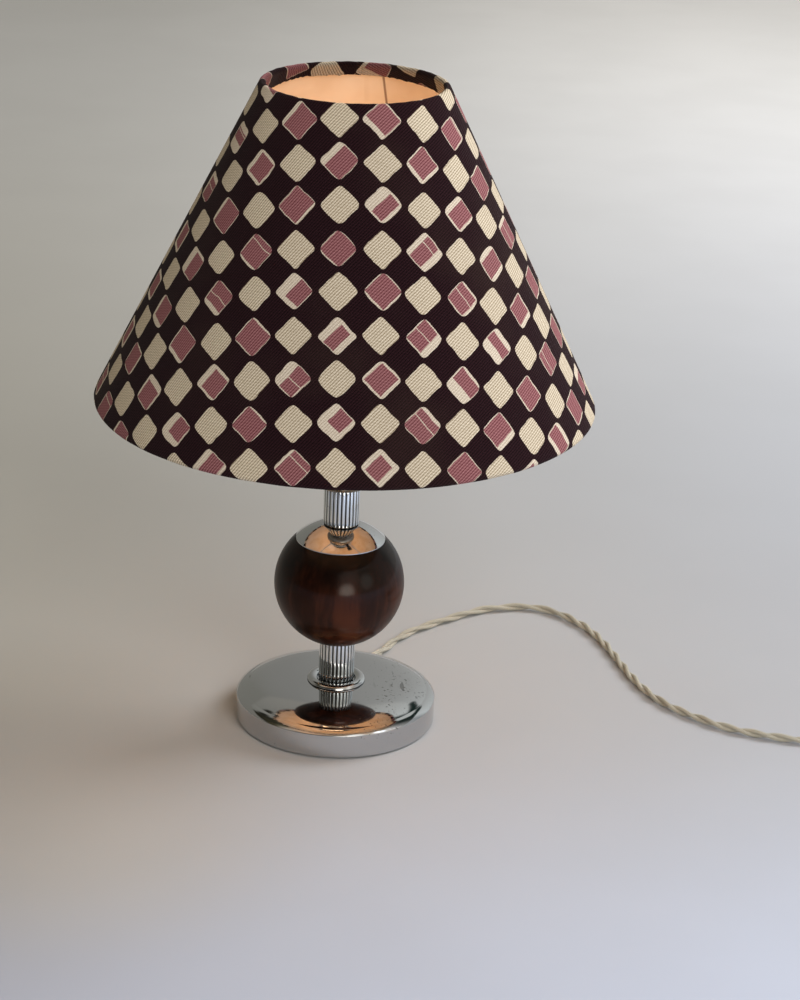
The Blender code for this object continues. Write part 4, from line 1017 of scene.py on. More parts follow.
def rounded_ring(half_width, half_thick, power, height, count=40):
    """A superellipse in the XY plane."""
    ring = []
    for step in range(count):
        turn = math.tau * step / count
        x = abs(math.cos(turn)) ** (2 / power) * math.copysign(half_width, math.cos(turn))
        y = abs(math.sin(turn)) ** (2 / power) * math.copysign(half_thick, math.sin(turn))
        ring.append((x, y, height))
    return ring


key_stations = (
    (0.0019, 0.0019, 2, -0.005),
    (0.0020, 0.0020, 2, -0.0048),
    (0.0020, 0.0020, 2, 0.0172),
    (0.0030, 0.0030, 2, 0.0173),
    (0.0030, 0.0030, 2, 0.0245),
    (0.0032, 0.0027, 2.3, 0.0262),
    (0.0037, 0.0023, 3, 0.0283),
    (0.0042, 0.0021, 4, 0.0305),
    (0.0045, 0.0021, 4, 0.0328),
    (0.0046, 0.0021, 4, 0.0343),
    (0.0043, 0.0019, 3.5, 0.0351),
    (0.0036, 0.0013, 3, 0.0355),
)
key_mesh = skinned("key_wing", [rounded_ring(*station) for station in key_stations])
laid(key_mesh, (0, 0, KEY_AXIS), KEY_DIRECTION)
settle(key_mesh, "black_resin", "switch_key", body="switch")

# %% [markdown]
# ## Shade cloth
#
# The shade is a cotton print, cut flat as part of a ring and bent into a cone. A cloth
# keeps its pattern when it is bent, so the pattern is drawn in the flat cloth's own
# coordinates: every point's place on the flat cut is kept as a UV map, in metres. The
# print is a plain diamond check. Its cells lie on a square lattice 22 mm wide, cream and
# rose by turns. Random numbers for each cell move it a little, and decide how wide the
# cream edging is on each of a rose diamond's four sides, so no two are the same. Last
# comes the weave: one strong set of slanting threads, and two fainter sets across it.

# %% Shade cloth finish
LATTICE_PITCH = 0.0220
LATTICE_PLACE = (-0.00706, -0.11763, 0.0)
LATTICE_TURN = 0.0202
TOP_CUT_RADIUS = 0.1098
CHANCE_SHIFTS = ((0.0, 0.0, 0.0), (37.3, 11.9, 0.0), (5.1, 71.7, 0.0))
THREAD_SETS = ((-0.722, 0.692, 0.00131), (0.725, 0.689, 0.00088), (0.190, 0.982, 0.00150))


def within(value, limit, soft=0.012):
    """One where a value is below its limit, falling softly to nothing above it."""
    return ramp(value - limit, -soft, soft, 1.0, 0.0)


def chances(cell, shift):
    """Three random numbers for a cell."""
    moved = vector("ADD", cell, shift)
    return split(add("ShaderNodeTexWhiteNoise", {"Vector": moved}, 1, noise_dimensions="2D"))


def edging(chance, thin, wide, power):
    """Width of a cream edging: mostly thin, now and then wide."""
    return chance ** power * wide + thin


def shade_cloth_finish():
    """A diamond check of cream and rose on a dark plum weave, with painted shade on the cloth turned in
    under the top roll.
    """
    sockets = {"Sheen_Weight": 0.03, "Specular_IOR_Level": 0.1}
    material, shader, where = finish("shade_cloth", tone(36, 22, 30), 0.9, **sockets)
    flat = add("ShaderNodeUVMap", tree=where.tree, uv_map="flat_cut")
    sockets = {"Vector": flat, "Location": LATTICE_PLACE, "Rotation": (0, 0, LATTICE_TURN)}
    sockets["Scale"] = (LATTICE_PITCH, LATTICE_PITCH, LATTICE_PITCH)
    grid = add("ShaderNodeMapping", sockets, vector_type="TEXTURE")
    wobble = vector("SUBTRACT", noise(grid, 2.6, 2, out=1), (0.5, 0.5, 0.5))
    grid = vector("ADD", grid, vector("MULTIPLY", wobble, (0.08, 0.08, 0.0)))
    cell = vector("FLOOR", vector("ADD", grid, (0.5, 0.5, 0.0)))
    cell = vector("MULTIPLY", cell, (1.0, 1.0, 0.0))
    first, second, third = (chances(cell, shift) for shift in CHANCE_SHIFTS)
    local = split(vector("SUBTRACT", grid, cell))
    across = (first[0] - 0.5) * 0.05 + local[0]
    up = (first[1] - 0.5) * 0.05 + local[1]
    rise, fall = across + up, across - up
    power = ramp(first[2], 0.0, 1.0, 5.0, 9.0)
    distance = (abs(rise) ** power + abs(fall) ** power) ** (1.0 / power)
    size = ramp(second[0], 0.0, 1.0, 0.465, 0.495)
    shape = within(distance, size, 0.007)

    column, row, _ = split(cell)
    odd = calc("PINGPONG", column + row, 1.0)
    rose = within(edging(second[1], 0.033, 0.34, 4.0) - size, fall)
    rose *= within(edging(second[2], 0.028, 0.38, 5.5) - size, rise)
    rose *= within(rise, size - edging(third[0], 0.02, 0.22, 4.0))
    rose *= within(fall, size - edging(third[1], 0.02, 0.24, 5.0))
    stripe = abs(rise - (first[1] - 0.35) * 0.6)
    rose *= 1.0 - within(stripe, 0.014, 0.006) * ramp(third[2], 0.74, 0.76)
    rose *= odd

    right, out, _ = split(flat)
    drift = noise(flat, 260, 2) * 2.0
    sets = []
    for x, y, pitch in THREAD_SETS:
        sets.append(calc("SINE", (right * x + out * y) * (math.tau / pitch) + drift))
    threads = (sets[1] + sets[2]) * 0.25 + 0.5
    weave = threads * 0.38 + ramp(sets[0], -0.9, 0.5) * 0.64

    fleck = noise(flat, 1500, 2, 0.6)
    ground = mixed(weave, tone(16, 8, 10), tone(48, 26, 31))
    ground = mixed(ramp(fleck, 0.64, 0.76, 0.0, 0.4), ground, tone(92, 64, 72))
    cream = mixed(weave, tone(158, 140, 110), tone(249, 234, 210))
    cream = mixed(ramp(fleck, 0.52, 0.68, 0.0, 0.45), cream, tone(150, 132, 104))
    pink = mixed(weave, tone(104, 50, 56), tone(176, 120, 122))
    pink = mixed(ramp(fleck * weave, 0.46, 0.6, 0.0, 0.5), pink, tone(190, 140, 140))
    edge = mixed(0.45, cream, tone(236, 221, 204))
    colour = mixed(shape, ground, mixed(rose, mixed(odd, cream, edge), pink))
    age = ramp(noise(flat, 14, 3), 0.45, 0.7, 0.0, 0.05)
    colour = mixed(age, colour, tone(120, 104, 84))
    # Painted shade: the cloth turned in under the top roll is darkened, as the roll shades it.
    inside = ramp(measure("LENGTH", flat), TOP_CUT_RADIUS - 0.002, TOP_CUT_RADIUS, 0.55, 0.0)
    mixed(inside, colour, tone(6, 3, 3)).into(shader, "Base Color")
    bump(shader, fleck * 0.3 + weave, 0.0002)
    return material


FINISHES["shade_cloth"] = shade_cloth_finish()

# %% [markdown]
# ## Shade cover
#
# The cover's outline runs up the outer face, round the wire ring hidden in the top roll
# and a few millimetres down inside, then back along the cloth's own back, and the same
# at the bottom. With each point goes its distance along the cloth, and that with the
# turn gives its place on the flat cut. The cloth is lapped and glued at the back, and
# the rolled hem is not quite even. Both show in the mesh, the lap as a step of half a
# millimetre and the hem as a wave of about a tenth.

# %% Shade cover
SHADE_BOTTOM_RADIUS = 0.136
SHADE_TOP_RADIUS = 0.049
SHADE_HEIGHT = 0.1745
SHADE_FOOT = 0.190304
CLOTH = 0.0006
ROLL = 0.0018
TOP_TURN_IN = 0.0055
BOTTOM_TURN_IN = 0.008
SLANT = math.hypot(SHADE_BOTTOM_RADIUS - SHADE_TOP_RADIUS, SHADE_HEIGHT)
LEAN = (SHADE_BOTTOM_RADIUS - SHADE_TOP_RADIUS) / SLANT
RISE = SHADE_HEIGHT / SLANT
LAP_WIDTH = 0.011


def shade_point(along, inward):
    """The (radius, height) of a point up the shade's slope and in from its outer face."""
    radius = SHADE_BOTTOM_RADIUS - along * LEAN - inward * RISE
    return radius, SHADE_FOOT + along * RISE - inward * LEAN


def cloth_outline():
    """Points of (radius, height, distance along the cloth from its bottom edge), once round."""
    face = []
    for step in range(45):
        along = ROLL + (SLANT - 2 * ROLL) * step / 44
        face.append((*shade_point(along, 0), along))
    for outward, start, turn_in in ((1, SLANT - ROLL, TOP_TURN_IN), (-1, ROLL, BOTTOM_TURN_IN)):
        half = []
        for step in range(1, 9):
            turn = math.pi * step / 8
            place = shade_point(start + outward * ROLL * math.sin(turn), ROLL * (1 - math.cos(turn)))
            half.append((*place, start + outward * ROLL * turn))
        flap = start - outward * turn_in
        cloth_end = start + outward * (ROLL * math.pi + turn_in)
        half.append((*shade_point(flap, 2 * ROLL - 0.0002), cloth_end))
        half.append((*shade_point(flap, 2 * ROLL - CLOTH), cloth_end))
        for step in range(8, -1, -1):
            turn = math.pi * step / 8
            under = ROLL - CLOTH
            place = shade_point(start + outward * under * math.sin(turn), ROLL - under * math.cos(turn))
            half.append((*place, start + outward * ROLL * turn))
        if outward > 0:
            top = half
        else:
            bottom = half[::-1]
    return face + top + bottom


def cover_turns():
    """Angles from the front, close together where the cloth laps at the back."""
    turns = [-math.pi + math.tau * step / 216 for step in range(216)]
    shares = (0.25, 0.5, 0.75, 0.96, 1.0, 1.04)
    return sorted(turns + [math.pi - LAP_WIDTH * share / SHADE_BOTTOM_RADIUS for share in shares])


def cover_mesh():
    """The cover, with each corner's place on the flat cut as its UV."""
    outline = cloth_outline()
    turns = cover_turns()
    count = len(outline)
    points = []
    torn = random.Random(5)
    top_end = max(along for radius, height, along in outline)
    for turn in turns:
        uneven = 0.00006 * math.sin(turn * 9 + 1.3) * math.sin(turn * 23)
        uneven += 0.00003 * math.sin(turn * 41 + 0.6)
        fray = torn.uniform(-0.0004, 0.0004) + 0.0004 * math.sin(turn * 7)
        from_lap = (math.pi - turn) * SHADE_BOTTOM_RADIUS / LAP_WIDTH
        lap = 0.00045 if from_lap < 1.0 else 0.0
        for radius, height, along in outline:
            near_edge = max(0.0, 1 - min(abs(along), abs(along - SLANT)) / 0.012)
            grow = lap + uneven * near_edge
            lift = uneven * 1.6 * near_edge
            if along == top_end:
                deeper = 0.0045 * math.sin(turn) ** 4
                grow += (deeper - fray) * LEAN - deeper * 0.35
                lift += (fray - deeper) * RISE
            spot = (radius + grow) * math.sin(turn), -(radius + grow) * math.cos(turn), height + lift
            points.append(spot)
    mesh = bpy.data.meshes.new("shade_cover_cloth")
    faces, places_flat = [], []
    apex = SHADE_BOTTOM_RADIUS / LEAN
    for column, turn in enumerate(turns):
        here, there = column * count, (column + 1) % len(turns) * count
        turn_there = (turns + [math.pi])[column + 1]
        for step in range(count):
            following = (step + 1) % count
            faces.append((here + step, there + step, there + following, here + following))
            corners = ((turn, step), (turn_there, step), (turn_there, following), (turn, following))
            for angle, row in corners:
                distance, bend = apex - outline[row][2], angle * LEAN
                places_flat.append((distance * math.sin(bend), -distance * math.cos(bend)))
    mesh.from_pydata(points, [], faces)
    layer = mesh.uv_layers.new(name="flat_cut")
    for slot, place in zip(layer.data, places_flat):
        slot.uv = place
    shape = bmesh.new()
    shape.from_mesh(mesh)
    bmesh.ops.recalc_face_normals(shape, faces=shape.faces)
    shape.to_mesh(mesh)
    shape.free()
    return mesh


cover = settle(cover_mesh(), "shade_cloth", "shade_cover", body="shade")

# %% [markdown]
# ## Shade lining
#
# Inside is a stiff white laminate that throws the light out. It is a slightly smaller
# cone, lapped at one side: a thin step, with a fine dark line painted along it as its
# shadow. The lamp is lit, so most of the peach colour seen inside comes from the bulb,
# not from the lining.

# %% Lining finish
LINING_LAP = 1.278


def lining_finish():
    """A smooth, warm white laminate that has yellowed, with a dark line painted along its lap as its
    shadow.
    """
    material, shader, where = finish("shade_lining", tone(238, 214, 184), 0.5, Specular_IOR_Level=0.3)
    cloud = ramp(noise(where, 26, 3), 0.35, 0.68)
    colour = mixed(cloud, tone(240, 219, 192), tone(228, 201, 168))
    # A fine dark line painted along the lap's edge, as the lap's shadow.
    sine, cosine = math.sin(LINING_LAP), math.cos(LINING_LAP)
    off = measure("DOT_PRODUCT", where, (-sine, cosine, 0.0))
    out = measure("DOT_PRODUCT", where, (cosine, sine, 0.0))
    line = ramp(abs(off), 0.0002, 0.0009, 0.8, 0.0) * ramp(out, 0.0, 0.01)
    mixed(line, colour, tone(120, 84, 58)).into(shader, "Base Color")
    bump(shader, noise(where, 160, 3), 0.00008, 0.4)
    return material


FINISHES["shade_lining"] = lining_finish()

# %% Lining
LINING = 0.0004
LINING_LAP_WIDTH = 0.2


def lining_mesh():
    """A thin cone with a lap at one side."""
    bottom, top = 2 * ROLL + SEAT_GAP, SLANT - 2 * ROLL - SEAT_GAP
    face = CLOTH + SEAT_GAP
    climbs = [(top - bottom) * step / 20 for step in range(21)]
    outline = [shade_point(bottom + climb, face) for climb in climbs]
    outline += [shade_point(top - climb, face + LINING) for climb in climbs]
    turns = [LINING_LAP + math.tau * step / 180 for step in range(180)]
    turns += [LINING_LAP - 0.004, LINING_LAP + LINING_LAP_WIDTH + 0.001]
    columns = []
    for turn in sorted(turns):
        lap = 0.0005 if (turn - LINING_LAP) % math.tau < LINING_LAP_WIDTH else 0.0
        columns.append([])
        for index, (radius, height) in enumerate(outline):
            radius -= lap if index > 20 else 0.0
            columns[-1].append((radius * math.cos(turn), radius * math.sin(turn), height))
    return wrapped("lining_cone", columns)


settle(lining_mesh(), "shade_lining", "shade_lining", body="shade")

# %% [markdown]
# ## Spider fitting
#
# Three enamelled rods run from a flat ring, clamped on the lampholder, out to the wire
# ring in the bottom hem. Each rod is a short tube with a weld fillet at both ends, drawn
# through points along its line with a radius that flares where it is welded.

# %% Spider fitting
PLATE_HOLE, PLATE_RIM = 0.0204, 0.027
ARM_RADIUS, WELD, WELD_REACH = 0.0015, 0.0004, 0.0016
ARM_INSET, HEM_GAP = 0.0002, 0.0011


def rod(name, start, end, radius, flare, sides=20, rows=24):
    """A straight rod whose ends flare where they are welded on."""
    length = (end - start).length
    rings = []
    for row in range(rows + 1):
        along = length * row / rows
        wide = radius + flare * math.exp(-min(along, length - along) / WELD_REACH)
        turns = [step * math.tau / sides for step in range(sides)]
        rings.append([(wide * math.cos(turn), wide * math.sin(turn), along) for turn in turns])
    return laid(skinned(name, rings), start, (end - start).normalized())


fitter_middle = (low("fitter_ring") + high("fitter_ring")) / 2
hem_radius, hem_height = shade_point(ROLL, 2 * ROLL + SEAT_GAP)
for number, degrees in enumerate((90, 210, 330), 1):
    way = Vector((math.cos(math.radians(degrees)), math.sin(math.radians(degrees)), 0))
    start = way * (PLATE_RIM - ARM_INSET) + Vector((0, 0, fitter_middle))
    end = way * (hem_radius - HEM_GAP) + Vector((0, 0, hem_height))
    arm = rod(f"spider_arm_{number}", start, end, ARM_RADIUS, WELD)
    settle(arm, "white_wire", f"fitter_arm_{number}", body="shade")

plate_low, plate_high = low("fitter_ring"), high("fitter_ring")
plate_outline = [(PLATE_HOLE, plate_low, 0.0003), (PLATE_RIM, plate_low, 0.0005)]
plate_outline += [(PLATE_RIM, plate_high, 0.0005), (PLATE_HOLE, plate_high, 0.0003)]
settle(turned("spider_ring", eased(plate_outline), 96), "white_wire", "fitter_ring", body="shade")

# %% [markdown]
# ## Bulb
#
# A pear-shaped opal bulb on a screw cap. It is lit, so its glass gives off a warm light
# of its own. The cap's thread is pressed into thin metal, so both its faces wave.

# %% Opal glass finish


def opal_glass_finish():
    """White glass that glows."""
    glow = {"Emission_Strength": 3.8, "Emission_Color": (1.0, 0.575, 0.285, 1.0)}
    material, shader, where = finish("opal_glass", tone(250, 244, 232), 0.18, **glow)
    soft = noise(where, 60, 2)
    mixed(soft, tone(250, 244, 232), tone(244, 236, 220)).into(shader, "Base Color")
    ramp(soft, 0.3, 0.7, 0.14, 0.24).into(shader, "Roughness")
    return material


FINISHES["opal_glass"] = opal_glass_finish()

# %% Bulb
BULB_BOTTOM = low("bulb_contact")
BULB_LENGTH = 0.105
BULB_RADIUS = 0.030
BULB_NECK = 0.0126
NECK_LENGTH = 0.026
GLASS = 0.001


def bulb_outline():
    """Neck, pear and dome outside, then the same inside."""
    centre = BULB_BOTTOM + BULB_LENGTH - BULB_RADIUS
    neck_top = BULB_BOTTOM + NECK_LENGTH
    hollow = BULB_RADIUS - GLASS
    belly = -math.radians(32)
    join_radius, join_height = BULB_RADIUS * math.cos(belly), centre + BULB_RADIUS * math.sin(belly)
    outside = [(BULB_NECK, low("bulb_glass"))]
    for step in range(24):
        share = step / 24
        ease = share * share * (3 - 2 * share) * (1 - share) + share * share
        radius = BULB_NECK + (join_radius - BULB_NECK) * ease
        outside.append((radius, neck_top + (join_height - neck_top) * share))
    outside += arc((0, centre), (BULB_RADIUS, BULB_RADIUS), belly, math.pi / 2, 28)
    inside = arc((0, centre), (hollow, hollow), math.pi / 2, belly, 28)
    inside += [(radius - GLASS, height) for radius, height in outside[24:0:-1]]
    return outside + inside + [(BULB_NECK - GLASS, low("bulb_glass"))]


settle(turned("bulb_pear", bulb_outline(), 96), "opal_glass", "bulb_glass", body="bulb")

# %% Bulb cap
CAP_OUTSIDE, CAP_INSIDE = 0.0133, 0.0129
CAP_THREAD_PITCH = 0.0036
CAP_THREAD_DEPTH = 0.0007
cap_low, cap_high = low("bulb_cap"), high("bulb_cap")
thread_start, thread_end = cap_low + 0.0025, cap_high - 0.0015


def cap_thread(turn, radius, height):
    """A pressed thread: both faces of the thin sleeve wave together."""
    if thread_start < height < thread_end:
        wave = math.cos(math.tau * (height - thread_start) / CAP_THREAD_PITCH - turn)
        radius -= CAP_THREAD_DEPTH / 2 * (1 - wave)
    return radius, height


thread_rows = [cap_low + 0.0015 + step * (cap_high - cap_low - 0.002) / 44 for step in range(45)]
screw_outline = [(0.0119, cap_low), (0.0123, cap_low)]
screw_outline += [(CAP_OUTSIDE, level) for level in (*thread_rows, cap_high)]
screw_outline += [(CAP_INSIDE, level) for level in (cap_high, *thread_rows[::-1])]
screw_mesh = turned("bulb_screw", screw_outline, 72, cap_thread)
settle(screw_mesh, "bulb_cap_metal", "bulb_cap", body="bulb")

# %% [markdown]
# ## Plug
#
# A slim cream two-pin plug lies beside the coil. Its body is skinned over rounded
# rectangles that narrow towards the cord, with shallow grip grooves on its waist. The
# relief is a ribbed cone, and the pins are plated brass with rounded tips.

# %% Plug
RELIEF_WIDTH, RELIEF_FLARE, RELIEF_LENGTH = 0.0034, 0.0020, 0.016
PLUG_START, PLUG_LENGTH = 0.0163, 0.034
PLUG_NECK, PLUG_WIDTH, PLUG_SHOULDER = 0.008, 0.017, 0.012
GRIP_START, GRIP_END, GRIP_GROOVES, GRIP_DEPTH = 0.30, 0.68, 5, 0.0005
END_ROUNDING = 0.0016
PIN_RADIUS, PIN_LENGTH, PIN_OFFSET = 0.0023, 0.0167, 0.0095

plug_way = (coil_path[-1] - coil_path[-2]).normalized()
upright = Vector((0, 0, 1))
plug_turn = Matrix((upright.cross(plug_way) * -1, upright, plug_way)).transposed()
plug_frame = Matrix.Translation(coil_path[-1] + plug_way * SEAT_GAP) @ plug_turn.to_4x4()
plug_half = coil_path[-1].z - SEAT_GAP

relief_outline = [(0, 0), (RELIEF_WIDTH, 0, 0.0004)]
for step in range(5):
    start = 0.002 + step * 0.0026
    wide = RELIEF_WIDTH + RELIEF_FLARE * start / RELIEF_LENGTH
    groove = wide - 0.0006
    relief_outline += [(wide, start, 0.0002), (groove, start + 0.0003, 0.0001)]
    relief_outline += [(groove, start + 0.0011, 0.0001), (wide + 0.0002, start + 0.0014, 0.0002)]
relief_outline += [(0.0056, RELIEF_LENGTH), (0, RELIEF_LENGTH)]
relief_mesh = turned("plug_relief_ribbed", eased(relief_outline, 3), 48)
relief_mesh.transform(plug_frame)
relief = settle(relief_mesh, "cream_resin", "plug_relief")

plug_rings = []
for row in range(61):
    share = row / 60
    along = PLUG_START + PLUG_LENGTH * share
    ease = min(1.0, (along - PLUG_START) / PLUG_SHOULDER)
    ease = ease * ease * (3 - 2 * ease)
    wide = PLUG_NECK + (PLUG_WIDTH - PLUG_NECK) * ease
    groove = 0.0
    if GRIP_START < share < GRIP_END:
        grip = (share - GRIP_START) / (GRIP_END - GRIP_START)
        groove = GRIP_DEPTH * (1 - math.cos(grip * math.tau * GRIP_GROOVES)) / 2
    end = min(share, 1 - share) * PLUG_LENGTH
    ease_end = 1 - max(0.0, 1 - end / END_ROUNDING) ** 2 * 0.16
    half_thick = (plug_half - groove * 0.4) * ease_end
    plug_rings.append(rounded_ring((wide - groove) * ease_end, half_thick, 3.2, along, 64))
plug_mesh = skinned("plug_shell", plug_rings)
plug_mesh.transform(plug_frame)
plug = settle(plug_mesh, "cream_resin", "plug_body")

for number, side in enumerate((-1, 1), 1):
    start = PLUG_START + PLUG_LENGTH + SEAT_GAP
    pin_outline = [(0, start), (PIN_RADIUS, start)]
    pin_outline += arc((0, start + PIN_LENGTH), (PIN_RADIUS, PIN_RADIUS), 0, math.pi / 2, 10)
    pin_mesh = turned(f"plug_prong_{number}", pin_outline, 32)
    pin_mesh.transform(plug_frame @ Matrix.Translation((side * PIN_OFFSET, 0, 0)))
    settle(pin_mesh, "plug_pins", f"plug_pin_{number}")

# %% [markdown]
# ## Strap round the coil
#
# A woven strap holds the coil. A strap pulled tight round a bundle takes the bundle's
# convex outline. Each turn of cord that passes under the strap gives a circle, and the
# outline round all those circles is the strap's inside.

# %% Strap finish


def strap_finish():
    """A woven tape: fine ribs across a herringbone."""
    material, shader, where = finish("strap", tone(198, 190, 168), 0.75, Sheen_Weight=0.2)
    x, y, z = split(where)
    weave = calc("SINE", z * (math.tau / 0.0009)) * calc("SINE", (x + y) * (math.tau / 0.0011))
    weave = ramp(weave, -0.8, 0.8)
    mixed(weave, tone(162, 152, 126), tone(206, 198, 176)).into(shader, "Base Color")
    bump(shader, weave, 0.00015)
    return material


FINISHES["strap"] = strap_finish()

# %% Strap
TIE_ANGLE = math.radians(105)
TIE_WIDTH = 0.009
TIE_THICKNESS = 0.0008
TIE_GAP = 0.0002
TIE_SECTION = (
    (-0.5, 0.15), (-0.46, 0.0), (0.46, 0.0), (0.5, 0.15),
    (0.5, 0.85), (0.46, 1.0), (-0.46, 1.0), (-0.5, 0.85),
)


def hull(points):
    """The convex outline round flat points, anticlockwise."""
    points = sorted(set(points))
    chain = []
    for run in (points, points[::-1]):
        start = len(chain)
        for point in run:
            while len(chain) >= start + 2:
                (ax, ay), (bx, by) = chain[-2], chain[-1]
                if (bx - ax) * (point[1] - ay) - (by - ay) * (point[0] - ax) > 0:
                    break
                chain.pop()
            chain.append(point)
        chain.pop()
    return chain


def strap_mesh():
    """A flat band that hugs the turns of the coil."""
    way = Vector((math.cos(TIE_ANGLE), math.sin(TIE_ANGLE)))
    side = Vector((-way.y, way.x))
    layers = []
    for room in (CORD_RADIUS + TIE_GAP, CORD_RADIUS + TIE_GAP + TIE_THICKNESS):
        circles = []
        for point in coil_path:
            arm = Vector(point[:2]) - COIL_CENTRE
            if arm.dot(way) > 0 and abs(arm.dot(side)) < TIE_WIDTH * 0.6:
                for step in range(40):
                    turn = math.tau * step / 40
                    spot = arm.dot(way) + room * math.cos(turn), point.z + room * math.sin(turn)
                    circles.append(spot)
        outline = [Vector(point) for point in hull(circles)]
        walk = [0.0]
        for start, end in zip(outline, outline[1:] + outline[:1]):
            walk.append(walk[-1] + (end - start).length)
        ring = []
        for mark in range(120):
            goal = walk[-1] * mark / 120
            index = max(k for k in range(len(outline)) if walk[k] <= goal)
            part = (goal - walk[index]) / max(1e-9, walk[index + 1] - walk[index])
            ring.append(outline[index].lerp(outline[(index + 1) % len(outline)], part))
        layers.append(ring)
    rings = []
    for inner_point, outer_point in zip(*layers):
        section = []
        for across, depth in TIE_SECTION:
            flat = inner_point.lerp(outer_point, depth)
            spot = COIL_CENTRE + way * flat.x + side * TIE_WIDTH * across
            section.append((spot.x, spot.y, max(0.0002, flat.y)))
        rings.append(section)
    return skinned("strap_band", rings + rings[:1], ends=False)


strap = settle(strap_mesh(), "strap", "cord_tie")

# %% [markdown]
# ## Hidden leads
#
# The lead inside the foot and its two cores in the lampholder are the same cotton cord,
# seen by nobody until the lamp is taken apart. The frame's own tubes stay for them, with
# a plain woven cotton that needs no attributes.

# %% Hidden leads


def plain_cotton_finish():
    """Cream cotton with a fine crossing weave in object coordinates."""
    material, shader, where = finish("plain_cotton", tone(222, 214, 190), 0.65, Sheen_Weight=0.2)
    x, y, z = split(where)
    rise, fall = (calc("SINE", way * (math.tau / 0.0009)) for way in (x + z, y - z))
    weave = ramp(rise * fall, -0.7, 0.7)
    mixed(weave, tone(176, 166, 136), tone(226, 219, 196)).into(shader, "Base Color")
    bump(shader, weave, 0.0001)
    return material


plain_cotton = plain_cotton_finish()
for name in ("inner_lead", "lead_core_1", "lead_core_2"):
    frame["nodes"][name].data.materials[0] = plain_cotton

# %% [markdown]
# ## Floor and light
#
# The floor is one wide, pale surface with no edge in view. Its colour carries painted
# light: warm and darker on the left, cool and lighter on the right, lighter still far
# back, and a soft lighter spot left of the foot where the lamp's shadow would be too
# deep. A big soft lamp stands behind on the right, like a window, and another fills from
# the front right, so the shade's left side is dimmer. Neither is seen in mirrors, where
# a lamp's hard round edge would show.

# %% Floor


def floor_finish():
    """Pale grey with painted light: warm and darker to the left, cool and lighter to the right and far
    back.
    """
    material, shader, where = finish("floor_paper", tone(186, 184, 184), 0.75, Specular_IOR_Level=0.2)
    x, y, _ = split(where)
    # The gradients are painted light: darker and warmer on the left, lighter and cooler to the right
    # and far back.
    across = ramp(x, -0.35, 0.45)
    near = mixed(across, tone(181, 183, 194), tone(216, 225, 245))
    middle = mixed(across, tone(180, 177, 168), tone(190, 193, 200))
    far = mixed(across, tone(206, 206, 204), tone(255, 255, 255))
    colour = mixed(ramp(y, -0.35, 0.05), near, middle)
    colour = mixed(ramp(y, 0.2, 1.9), colour, far)
    # Painted light: a soft lighter spot left of the foot thins the lamp's cast shadow there.
    away = measure("DISTANCE", where, (-0.145, -0.15, 0.0))
    colour = mixed(ramp(away, 0.02, 0.15, 0.75, 0.0), colour, tone(210, 207, 203))
    grain = ramp(noise(where, 8, 3), 0.3, 0.7, 0.0, 0.05)
    mixed(grain, colour, tone(150, 148, 146)).into(shader, "Base Color")
    return material


floor_mesh = bpy.data.meshes.new("floor")
floor_mesh.from_pydata([(-4, -3, 0), (4, -3, 0), (4, 5, 0), (-4, 5, 0)], [], [(0, 1, 2, 3)])
floor_mesh.materials.append(floor_finish())
floor = bpy.data.objects.new("floor", floor_mesh)
bpy.context.scene.collection.objects.link(floor)

# %% Light


def soft_light(name, place, size, power, colour):
    """A large round lamp that looks at the shade and stays out of mirrors."""
    data = bpy.data.lights.new(name, "AREA")
    data.shape = "DISK"
    data.size = size
    data.energy = power
    data.color = colour
    lamp = bpy.data.objects.new(name, data)
    lamp.visible_glossy = False
    bpy.context.scene.collection.objects.link(lamp)
    aim = Vector((0, 0, 0.15)) - Vector(place)
    lamp.matrix_world = Matrix.Translation(place) @ aim.to_track_quat("-Z", "Y").to_matrix().to_4x4()
    return lamp


soft_light("window", (1.7, 0.9, 1.5), 1.4, 44, (0.94, 0.96, 1.0))
soft_light("front_fill", (0.8, -1.7, 1.3), 1.3, 21, (0.98, 0.98, 1.0))

# %% [markdown]
# ## The room that mirrors see
#
# Polished metal shows whatever stands round it, so half of its look is the room. For
# matt surfaces the world is an even, slightly warm grey. For mirrors it is a room: a pale
# wall, greyer on the left than on the right, and darker shelves and warmer light above.
# Each of the three heights has its own tones round the horizon, written as degrees
# right of the back and a screen colour. Round patches stand in for lamps, panes and
# dark beams, each with its direction, its inner and outer size in degrees and its tone.

# %% World


def patch(way, azimuth, elevation, inner, outer):
    """One round a direction, in degrees right of the back and up, falling to nothing."""
    turn, climb = math.radians(azimuth), math.radians(elevation)
    aim = (math.sin(turn) * math.cos(climb), math.cos(turn) * math.cos(climb), math.sin(climb))
    near = measure("DOT_PRODUCT", way, aim)
    return ramp(near, math.cos(math.radians(outer)), math.cos(math.radians(inner)))


def round_about(azimuth, stops):
    """Tones all round the horizon, from stops of degrees right of the back and a tone."""
    made = azimuth.tree.nodes.new("ShaderNodeValToRGB")
    bands = made.color_ramp.elements
    bands[0].color, bands[1].color = tone(*stops[0][1:]), tone(*stops[-1][1:])
    for degrees, *colour in stops[1:-1]:
        bands.new((degrees + 180) / 360).color = tone(*colour)
    (azimuth * (1 / 360) + 0.5).into(made, 0)
    return Value(azimuth.tree, made.outputs[0])


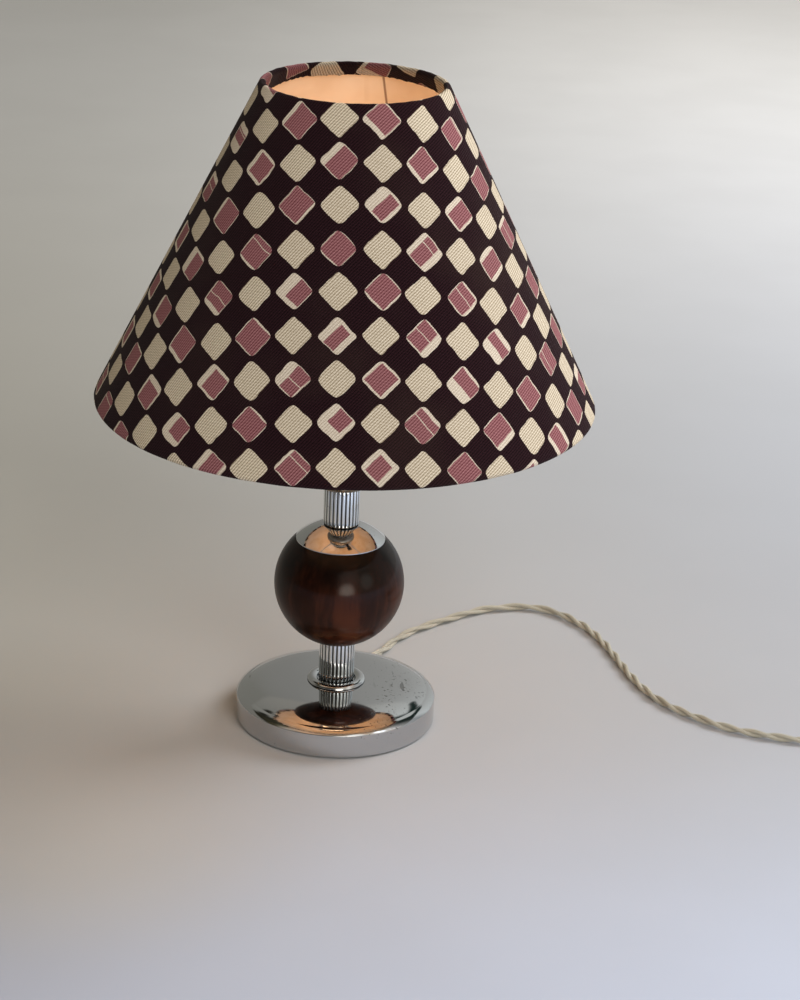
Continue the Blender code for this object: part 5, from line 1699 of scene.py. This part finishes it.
LOW_ROOM = (
    (-180, 178, 170, 156), (-172, 60, 56, 50), (-100, 72, 68, 56), (-84, 134, 130, 120),
    (-20, 137, 135, 126), (-4, 148, 146, 140), (6, 172, 171, 166), (35, 206, 208, 204),
    (52, 222, 226, 223), (64, 164, 167, 166), (85, 190, 191, 190), (110, 186, 176, 160),
    (172, 190, 182, 168), (180, 178, 170, 156),
)
MIDDLE_ROOM = (
    (-180, 112, 104, 92), (-140, 132, 112, 96), (-112, 188, 176, 160), (-95, 110, 104, 84),
    (-85, 50, 47, 34), (-54, 44, 42, 33), (-46, 140, 138, 129), (-5, 157, 153, 144),
    (12, 196, 196, 190), (38, 217, 219, 214), (44, 28, 42, 38), (62, 52, 58, 55),
    (84, 170, 168, 164), (96, 252, 244, 238), (140, 240, 226, 208), (180, 112, 104, 92),
)
HIGH_ROOM = (
    (-180, 158, 142, 124), (-135, 228, 184, 147), (-108, 190, 162, 134), (-92, 74, 70, 52),
    (-50, 62, 58, 44), (0, 120, 114, 98), (60, 96, 98, 92), (100, 184, 158, 130),
    (135, 214, 184, 154), (180, 158, 142, 124),
)
SHAPES_IN_ROOM = (
    (28, 35, 1, 4, tone(40, 52, 48)), (33, 36, 1, 5, tone(34, 48, 44)),
    (38, 38, 1, 5, tone(32, 46, 42)), (43, 40, 1, 5, tone(30, 44, 40)),
    (-42, 48, 1, 4, tone(44, 42, 34)), (-48, 46, 1, 6, tone(40, 38, 30)),
    (-72, 47, 2, 7, tone(58, 55, 42)), (-93, 41, 3, 8, tone(74, 67, 48)),
    (160, 28, 5, 20, (0.8, 0.77, 0.68, 1.0)), (128, 16, 3, 16, (1.4, 1.35, 1.2, 1.0)),
    (166, 5, 2, 17, (6.0, 5.5, 4.8, 1.0)), (112, 51, 3, 7, (2.2, 2.3, 2.4, 1.0)),
    (148, 54, 3, 10, (1.5, 1.5, 1.4, 1.0)),
)


def mirrored_room(tree):
    """What polished metal and lacquer see round the lamp, in three heights."""
    way = add("ShaderNodeTexCoord", out="Generated", tree=tree)
    x, y, z = split(way)
    azimuth = calc("DEGREES", calc("ARCTAN2", x, y))
    height = calc("DEGREES", calc("ARCSINE", z)) + (noise(way, 2.2, 2) - 0.5) * 7.0
    room = round_about(azimuth, LOW_ROOM)
    room = mixed(ramp(height, 35, 38), room, round_about(azimuth, MIDDLE_ROOM))
    room = mixed(ramp(height, 51, 56), room, round_about(azimuth, HIGH_ROOM))
    room = mixed(ramp(height, 64, 74), room, tone(88, 78, 60))
    for *spot, colour in SHAPES_IN_ROOM:
        room = mixed(patch(way, *spot), room, colour)
    return room


def world_light():
    """Even grey light for matt surfaces, and the room for mirrors."""
    world = bpy.data.worlds.new("room")
    world.use_nodes = True
    tree = world.node_tree
    mirrored = add("ShaderNodeLightPath", out="Is Glossy Ray", tree=tree)
    seen = mixed(mirrored, tone(150, 144, 132), mirrored_room(tree))
    straight = add("ShaderNodeLightPath", out="Is Camera Ray", tree=tree)
    mixed(straight, seen, tone(200, 199, 196)).into(tree.nodes["Background"], "Color")
    bpy.context.scene.world = world


world_light()
